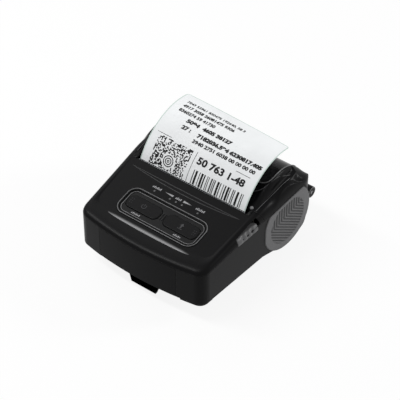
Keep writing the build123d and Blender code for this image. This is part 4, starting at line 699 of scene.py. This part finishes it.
# Panel marks in pale ink: generic ticks and wedges
markLook = {"ink": (150, 150, 152), "dim": (58, 58, 60), "lift": 0.04, "lampY": -26.55,
            "ticks": ((-23.0, 6), (23.0, 6), (0.0, 4)), "tickRise": 2.6, "tickHeight": 2.3,
            "wedges": ([(-14.0, 3.8), (-5.4, 2.7), (-5.4, 4.6)], [(14.0, 3.8), (5.4, 4.9), (5.4, 2.7)])}
tickLook = {"pitch": 1.55, "start": 0.5, "width": 0.95, "lean": 0.4, "shortShare": 0.72}
markPaint = inkMaterial("mark_ink", markLook["ink"], 0.55, 0.2, 0.002)
dimPaint = inkMaterial("dim_ink", markLook["dim"], 0.5, 0.2, 0.002)


# Flat shapes on the panel, each a list of corners (x, distance up the panel from y)
def addShapes(layer, y, shapes, lift):
    for corners in shapes:
        x, up = np.array(corners, float).T
        layer.add(onPanel(x, y + up, lift), [tuple(range(len(corners)))])


# Leaning ticks, long and short by turns, at x + (n - (count - 1) / 2) pitch
def tickRow(layer, x, y, count, height, lift, look=tickLook):
    wide, lean = look["width"], look["lean"]
    for n in range(count):
        left = x + (n - (count - 1) / 2) * look["pitch"] - look["start"]
        tall = height * (1.0 if n % 2 else look["shortShare"])
        corners = [(0, 0), (wide, 0), (wide + lean, tall), (lean, tall)]
        addShapes(layer, y, [np.add(corners, (left, 0))], lift)


def markPanel(look):
    pale = InkLayer()
    for x, count in look["ticks"]:
        tickRow(pale, x, look["lampY"] + look["tickRise"], count, look["tickHeight"], look["lift"])
    addShapes(pale, look["lampY"], look["wedges"], look["lift"])
    pale.piece("panel_marks", markPaint, "housing", "lamp_plastic")


markPanel(markLook)
print("panel marked")

# Two fine ridges in front of the slot that meet at their ends, lighter grey than the case as a painted
# highlight
ridgeLook = {"half": 57.0, "y": -13.6, "spread": 1.7, "height": 0.42, "width": 0.5, "bow": 2.2,
             "endHeight": 0.25, "endWidth": 0.35, "sunk": 0.05, "colour": (62, 62, 63)}
ridgeHighlightPaint = variedPaint("ridge_highlight_plastic", "case_plastic", colour=ridgeLook["colour"])


# Ridge line: y = y0 + (sign spread - bow) (1 - t^2), with a half-round profile, width and height
# fading towards the ends by sqrt(1 - t^2)
def makeRidge(name, sign, look):
    t = np.linspace(-1, 1, 97)
    fade = 1 - t ** 2
    y = look["y"] + sign * look["spread"] * fade - look["bow"] * fade
    u = np.linspace(0, np.pi, 9)
    w = look["width"] * (look["endWidth"] + (1 - look["endWidth"]) * fade ** 0.5)
    h = look["height"] * (look["endHeight"] + (1 - look["endHeight"]) * fade ** 0.5)
    across = y[:, None] + w[:, None] * np.cos(u)
    lift = h[:, None] * np.sin(u) - look["sunk"]
    points = onPanel(look["half"] * t[:, None], across) + lift[..., None] * panelUp
    makePiece(name, points, tubeFaces(*points.shape[:2]), ridgeHighlightPaint, "housing", 60.0)


foldLook = {"half": 57.0, "reach": 3.4, "lift": 0.95, "noseSlope": 0.394, "fadeRun": 22.0, "leastFade": 0.02,
            "thickness": 0.2, "depth": 0.3, "highlightColour": (150, 150, 151), "highlightWidth": 0.2}
# The fold carries a pale stripe: a painted highlight along the panel's front edge
foldHighlightPaint = variedPaint("fold_highlight_plastic", "case_plastic")
blendColour(foldHighlightPaint, "wear_and_highlight", foldLook["highlightColour"])


# Soft fold at the panel's front edge, the curve a (1 - t)^2 + 2 b t (1 - t) + c t^2 from panel to nose
# with b lifted; the pale stripe is a painted highlight, exp(-((t - 1/2) / width)^2), fading towards the ends
def makeFold(look):
    foldY, foldZ = casingLines["panel"][:2]
    x = np.linspace(-look["half"], look["half"], 81)[:, None]
    t = np.linspace(0, 1, 13)[None, :]
    inwards = (look["half"] - np.abs(x)) / look["fadeRun"]
    fade = np.clip(inwards, look["leastFade"], 1.0) ** 0.5
    reach, lift = look["reach"] * fade, look["lift"] * fade
    y = foldY + reach * ((1 - t) ** 2 - t ** 2)
    rise = panelClimb * reach * (1 - t) ** 2 - look["noseSlope"] * reach * t ** 2
    top = np.stack([x + 0 * y, y, foldZ + rise + 2 * lift * t * (1 - t)], -1)
    low = top.copy()
    floor = foldZ - look["noseSlope"] * reach - look["depth"]
    low[..., 2] = np.minimum(top[..., 2] - look["thickness"], floor)
    piece = makePiece("panel_fold", [top, low], slabFaces(*top.shape[:2]), foldHighlightPaint, "housing",
                      40.0, outward=False)
    wear_and_highlight = np.exp(-((t - 0.5) / look["highlightWidth"]) ** 2) * np.clip(inwards, 0, 1)
    pointAttribute(piece, "wear_and_highlight", np.stack([wear_and_highlight, 0 * wear_and_highlight]).ravel())


makeFold(foldLook)
makeRidge("panel_ridge_rear", 1, ridgeLook)
makeRidge("panel_ridge_front", -1, ridgeLook)
print("ridges made")

# Bezel: a bead on the rim and a second bead round the buttons' floor, both pale grey as painted highlight,
# and a channel inside the rim darker than the bezel as painted shade
bezelLook = {"length": 84.0, "width": 30.0, "round": 9.5, "y": -45.35, "beadRadius": 0.42,
             "outerInset": 0.55, "outerLift": 0.45, "channel": (1.7, 3.1), "floorLift": -0.86,
             "innerInset": 3.35, "innerLift": -0.62, "beadHighlightColour": (92, 92, 93), "channelShadeColour": (3, 3, 3)}
beadHighlightPaint = variedPaint("bezel_bead", "bezel_plastic", colour=bezelLook["beadHighlightColour"], shine=0.3)
channelShadePaint = variedPaint("bezel_shade_channel", "bezel_plastic", colour=bezelLook["channelShadeColour"], shine=0.05,
                           wear=0.0)


# Rounded rectangle: corner centre + round (cos t, sin t); gives points and outward directions
def roundedPath(length, width, corner, count=96):
    t = (np.arange(count) + 0.5) / count * 2 * np.pi
    out = np.stack([np.cos(t), np.sin(t)], -1)
    corners = np.sign(out) * np.array([length / 2 - corner, width / 2 - corner])
    return corners + corner * out, out


# The bezel's own rounded rectangle set in by the inset, as points on the panel and outward directions
def bezelRing(inset, look):
    path, out = roundedPath(look["length"] - 2 * inset, look["width"] - 2 * inset, look["round"] - inset)
    return onPanel(0.0, look["y"]) + path @ panelPlane, out @ panelPlane


# Closed bead: ring + radius (cos u outwards + sin u upwards)
def makeBead(name, inset, lift, look):
    ring, out = bezelRing(inset, look)
    u = fullTurn(12)[None, :, None]
    radius = look["beadRadius"]
    points = ring[:, None, :] + radius * np.cos(u) * out[:, None, :] + (lift + radius * np.sin(u)) * panelUp
    points = np.concatenate([points, points[:1]])
    faces = gridFaces(*points.shape[:2], wrap=True)
    makePiece(name, points, faces, beadHighlightPaint, "housing", 80.0)


# Channel floor: the band between two rings, lowered square to the panel; its near-black colour is painted
# shade
def makeChannel(look):
    rings = [bezelRing(inset, look)[0] + look["floorLift"] * panelUp for inset in look["channel"]]
    points = np.concatenate([np.concatenate([ring, ring[:1]]) for ring in rings])
    makePiece("bezel_shade_channel", points, gridFaces(2, len(points) // 2), channelShadePaint, "housing",
              outward=False)


makeBead("bezel_bead_outer", bezelLook["outerInset"], bezelLook["outerLift"], bezelLook)
makeBead("bezel_bead_inner", bezelLook["innerInset"], bezelLook["innerLift"], bezelLook)
makeChannel(bezelLook)

# Button marks: a power ring, a feed arrow and raised dots at the outer ends
buttonLook = {"y": -44.55, "x": 20.0, "lift": 0.16, "ring": (1.9, 2.4), "ringTurn": (130, 410),
              "dot": (0.02, 0.34), "dotsFrom": 12.2, "dotPitch": 2.0,
              "powerShapes": [[(-20.25, 0), (-19.75, 0), (-19.75, 2.6), (-20.25, 2.6)]],
              "feedShapes": [[(18.0, 0.4), (22.0, 0.4), (20.0, 3.0)],
                             [(19.3, -2.0), (20.7, -2.0), (20.7, 0.4), (19.3, 0.4)],
                             [(17.6, -3.2), (22.4, -3.2), (22.4, -2.7), (17.6, -2.7)]],
              "captions": ((-22.0, 6), (22.0, 5)), "captionDrop": 10.4, "captionHeight": 1.7,
              "captionLift": -0.82}


def markButtons(look):
    lift, y, pitch = look["lift"], look["y"], look["dotPitch"]
    power, feed, pale = InkLayer(), InkLayer(), InkLayer()
    power.add(*flatRing(onPanel, -look["x"], y, *look["ring"], lift, *look["ringTurn"]))
    addShapes(power, y, look["powerShapes"], lift)
    addShapes(feed, y, look["feedShapes"], lift)
    for layer, side in ((power, -1), (feed, 1)):
        for column in (0, 1):
            for row in (-1, 0, 1):
                x = side * (look["x"] + look["dotsFrom"] + pitch * column)
                layer.add(*flatRing(onPanel, x, y + pitch * row, *look["dot"], lift, count=13))
    power.piece("power_mark", dimPaint, "power_key", "button_plastic")
    feed.piece("feed_mark", dimPaint, "feed_key", "button_plastic")
    for x, count in look["captions"]:
        tickRow(pale, x, y - look["captionDrop"], count, look["captionHeight"], look["captionLift"])
    pale.piece("button_captions", markPaint, "housing", "bezel_plastic")


markButtons(buttonLook)
print("bezel and buttons detailed")

# Small round knob at the lever end of the slot, on the lid
knobLook = {"place": (59.0, 1.1, 71.7), "radius": 1.6, "colour": (120, 120, 121)}


# Turned form: (r(v) cos t, r(v) sin t, h(v)) about an axis, closed at both ends
def turnedPiece(name, centre, axis, side, profile, paint, count=48):
    t = fullTurn(count)
    axis, side = np.array(axis, float), np.array(side, float)
    other = np.cross(axis, side)
    spokes = np.cos(t)[:, None] * side + np.sin(t)[:, None] * other
    points = np.array(centre) + profile[:, None, 0:1] * spokes + profile[:, None, 1:2] * axis
    faces = gridFaces(len(profile), count, wrap=True)
    makePiece(name, points, faces, paint, "lid", 40.0)


v = np.linspace(-np.pi / 2, np.pi / 2, 15)
knobProfile = knobLook["radius"] * np.stack([np.cos(v), np.sin(v)], -1)
knobPaint = variedPaint("knob_plastic", "lever_plastic", colour=knobLook["colour"])
turnedPiece("slot_knob", knobLook["place"], (0, 0, 1), (1, 0, 0), knobProfile, knobPaint)

# Hinge caps: a shallow dish with a raised rim on each outer end of the barrel, pale grey as a painted
# highlight on the rim
hingeLook = {"place": (76.65, 41.0), "end": 70.0, "colour": (104, 104, 105)}
# Section of a cap: radius and distance outwards, from its hidden back to the dish's middle
hingeProfile = np.array([(0, -1.0), (5.25, -1.0), (5.25, 0.05), (5.1, 0.25), (4.7, 0.25), (4.45, -0.1),
                         (0, -0.1)])
rimHighlightPaint = variedPaint("hinge_rim_highlight", "case_plastic", colour=hingeLook["colour"], shine=0.5)
for capName, capSide in (("hinge_cap_right", 1), ("hinge_cap_left", -1)):
    turnedPiece(capName, (capSide * hingeLook["end"], *hingeLook["place"]), (capSide, 0, 0), (0, 1, 0),
                hingeProfile, rimHighlightPaint)
print("knob and hinge caps made")

# Lid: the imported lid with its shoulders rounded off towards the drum's ends
lidLook = {"start": 60.3, "end": 76.0, "run": 7.5, "mostRuns": 1.7, "power": 1.6, "drop": 4.6,
           "frontFrom": 4.0, "frontRun": 26.0, "seamRun": 14.5, "drumCentre": (38.05, 52.0),
           "drumRadius": 34.5, "innerRadius": 24.0, "innerRun": 6.0, "planes": 2.0, "sharpAngle": 32.0}


# Drop of the shoulder: drop f^power g h^2 (3 - 2 h), with f across from the window's edge, g up from
# the seam and h back from the slot
def shoulderDrop(ax, y, z, look):
    f = np.clip((ax - look["start"]) / look["run"], 0.0, look["mostRuns"])
    g = np.clip((z - casingLine("seam", y)) / look["seamRun"], 0.0, 1.0)
    h = np.clip((y - look["frontFrom"]) / look["frontRun"], 0.0, 1.0)
    return look["drop"] * f ** look["power"] * g * h * h * (3 - 2 * h)


# The distance of each point from the drum's line is shortened by the drop
def lowerShoulder(points, look):
    cy, cz = look["drumCentre"]
    x, y, z = points.T
    reach = np.hypot(y - cy, z - cz)
    drop = shoulderDrop(np.abs(x), y, z, look)
    drop *= np.clip((reach - look["innerRadius"]) / look["innerRun"], 0.0, 1.0)
    share = (reach - drop) / np.maximum(reach, 1e-6)
    return np.stack([x, cy + (y - cy) * share, cz + (z - cz) * share], -1)


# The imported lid, cut by planes across X so that it can bend, and its points moved by lowerShoulder
def roundLid(look):
    shell = bmesh.new()
    shell.from_mesh(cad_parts["lid_cover"].data)
    bmesh.ops.remove_doubles(shell, verts=shell.verts, dist=1e-6)
    for x in np.arange(look["start"], look["end"], look["planes"]):
        for sign in (-1, 1):
            bmesh.ops.bisect_plane(shell, geom=shell.verts[:] + shell.edges[:] + shell.faces[:], dist=1e-7,
                                   plane_co=(sign * x * mm, 0, 0), plane_no=(1, 0, 0))
    mesh = bpy.data.meshes.new("rounded_lid")
    shell.to_mesh(mesh)
    shell.free()
    mesh.vertices.foreach_set("co", (lowerShoulder(meshPoints(mesh) / mm, look) * mm).ravel())
    mesh.shade_smooth()
    mesh.set_sharp_from_angle(angle=math.radians(look["sharpAngle"]))
    mesh.materials.append(made["case_plastic"])
    lid = addObject("rounded_lid", mesh)
    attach(lid, "lid")
    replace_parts(lid, "lid_cover")


roundLid(lidLook)


# Smooth line through the corners: even steps between them, then a moving average
def easedPath(corners, count, width):
    corners = np.asarray(corners, float)
    run = np.concatenate([[0], np.cumsum(np.linalg.norm(np.diff(corners, axis=0), axis=1))])
    at = np.linspace(0, run[-1], count)
    line = np.stack([np.interp(at, run, corners[:, k]) for k in range(corners.shape[1])], -1)
    padded = np.pad(line, ((width // 2, width // 2), (0, 0)), "edge")
    window = np.ones(width) / width
    return np.stack([np.convolve(padded[:, k], window, "valid") for k in range(line.shape[1])], -1)


# Round bead on the lid along a path of points, its section turned about the path's own direction
def pathBead(name, path, radius, paint):
    along = np.gradient(path, axis=0)
    along /= np.linalg.norm(along, axis=1)[:, None]
    side = np.cross(along, np.array([0.0, 0.0, 1.0]))
    side /= np.linalg.norm(side, axis=1)[:, None]
    up = np.cross(side, along)
    u = fullTurn(10)
    profile = radius * np.stack([np.cos(u), np.sin(u)], -1)
    points, faces = sweepPiece(path, side, up, profile)
    makePiece(name, points, faces, paint, "lid", 80.0)


windowBead = {"half": 59.9, "front": 21.5, "rear": 64.0, "corner": 6.0, "cut": (1.6, 2.2), "sunk": 0.1,
              "steps": 400, "smooth": 17, "radius": 0.5, "colour": (88, 88, 89)}
windowHighlightPaint = variedPaint("window_bead_highlight", "case_plastic", colour=windowBead["colour"], shine=0.4)


# Window bead: along the opening's edge, on the drum at z = centre + sqrt(R^2 - (y - centre)^2); its pale grey
# is a painted highlight on the rim
def makeWindowBead(look):
    half, front, rear, corner = look["half"], look["front"], look["rear"], look["corner"]
    cutX, cutY = look["cut"]
    left = [(-half, rear), (-half, front + corner), (-half + cutX, front + cutY), (-half + corner, front)]
    line = easedPath(left + [(-x, y) for x, y in left[::-1]], look["steps"], look["smooth"])
    cy, cz = lidLook["drumCentre"]
    drum = cz + np.sqrt((lidLook["drumRadius"] - look["sunk"]) ** 2 - (line[:, 1] - cy) ** 2)
    pathBead("window_edge_bead", np.column_stack([line, drum]), look["radius"], windowHighlightPaint)


makeWindowBead(windowBead)

outerLine = {"corners": [(65.4, 51.7), (62.9, 42.6), (61.0, 29.5), (60.2, 22.5), (57.6, 15.6), (51.0, 11.2)],
             "above": 0.15, "steps": 300, "smooth": (15, 25), "radius": 0.42, "colour": (52, 52, 53)}
outerHighlightPaint = variedPaint("outer_line", "case_plastic", colour=outerLine["colour"], shine=0.3)


# Outer line: a smoothed curve further out, laid on the lid's own surface by a ray from above; its grey is a
# painted highlight streak
def makeOuterLine(look):
    lid = bpy.data.objects["rounded_lid"].data
    tree = BVHTree.FromPolygons([v.co[:] for v in lid.vertices], [p.vertices[:] for p in lid.polygons])
    right = np.array(look["corners"])
    first, second = look["smooth"]
    line = easedPath(np.concatenate([right * [-1, 1], right[::-1]]), look["steps"], first)
    high = [tree.ray_cast((x * mm, y * mm, look["above"]), (0, 0, -1))[0][2] / mm for x, y in line]
    smooth = easedPath(np.column_stack([line, high]), look["steps"], second)
    pathBead("lid_outer_line", smooth, look["radius"], outerHighlightPaint)


makeOuterLine(outerLine)

# Rail crease: a fine bead where the panel's plane runs on along the lid's side, pale as a painted highlight
# on the crease
railBead = {"from": 1.0, "to": 48.0, "inset": 7.2, "radius": 0.34, "colour": (70, 70, 71)}
railHighlightPaint = variedPaint("rail_bead_highlight", "case_plastic", colour=railBead["colour"], shine=0.3)
for railName, railSide in (("rail_crease_right", 1), ("rail_crease_left", -1)):
    y = np.linspace(railBead["from"], railBead["to"], 60)
    railPath = onPanel(railSide * (casingLine("side", y) - railBead["inset"]), y)
    pathBead(railName, lowerShoulder(railPath, lidLook), railBead["radius"], railHighlightPaint)
print("lid rounded and its lines drawn")

# Open lever: a flat top, a side that falls away and three thumb hollows across the edge
leverLook = {"front": -31.0, "rear": -5.0, "inner": 62.4, "topFront": 63.1, "topRear": 64.0,
             "endRound": 1.6, "endShare": 0.82, "hollows": 3, "hollowDepth": 0.8, "hollowFrom": 0.16,
             "hollowRun": 0.68, "hollowAt": 5.9, "hollowWidth": 1.5, "hollowFloor": 6.0, "slant": 0.7,
             "rows": 105}
# Section as shares: across from the inner wall, down from the top
leverSection = np.array([(0.0, 0.5), (0.25, 0.12), (0.6, 0.0), (1.2, 0.0), (2.4, 0.05), (3.6, 0.1),
                         (4.3, 0.25), (5.0, 0.8), (5.7, 1.7), (6.3, 2.7), (6.7, 3.8), (6.9, 5.0),
                         (6.9, 5.9), (6.6, 6.3), (5.5, 6.4), (2.0, 6.4), (0.3, 6.4), (0.0, 6.1)])


# Section carried along y; the hollows sink the edge by depth sin^2(pi count share), a bell wide across
# the section, and the ends shrink as a quarter round
def makeLever(look):
    y = np.linspace(look["front"], look["rear"], look["rows"])
    share = (y - look["front"]) / (look["rear"] - look["front"])
    end = np.minimum(y - look["front"], look["rear"] - y)
    shrink = np.sqrt(np.clip(1 - (1 - np.clip(end / look["endRound"], 0, 1)) ** 2, 0.0, 1.0))
    shrink = look["endShare"] + (1 - look["endShare"]) * shrink
    mid = leverSection.mean(0)
    across = mid[0] + (leverSection[:, 0] - mid[0]) * shrink[:, None]
    down = mid[1] + (leverSection[:, 1] - mid[1]) * shrink[:, None]
    along = np.clip((share - look["hollowFrom"]) / look["hollowRun"], 0, 1)
    hollow = np.sin(np.pi * along * look["hollows"]) ** 2
    edge = np.exp(-((leverSection[:, 0] - look["hollowAt"]) / look["hollowWidth"]) ** 2)
    edge *= leverSection[:, 1] < look["hollowFloor"]
    sink = look["slant"] * look["hollowDepth"] * hollow[:, None] * edge
    top = look["topFront"] + (look["topRear"] - look["topFront"]) * share
    x = look["inner"] + across - sink + sideClimb * (y[:, None] - look["front"])
    z = top[:, None] - down - sink
    points = np.stack([x, np.repeat(y[:, None], x.shape[1], 1), z], -1)
    return makePiece("scalloped_lever", points, tubeFaces(*points.shape[:2]), made["lever_plastic"],
                     "latch", 55.0)


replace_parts(makeLever(leverLook), "open_lever")
print("lever made")
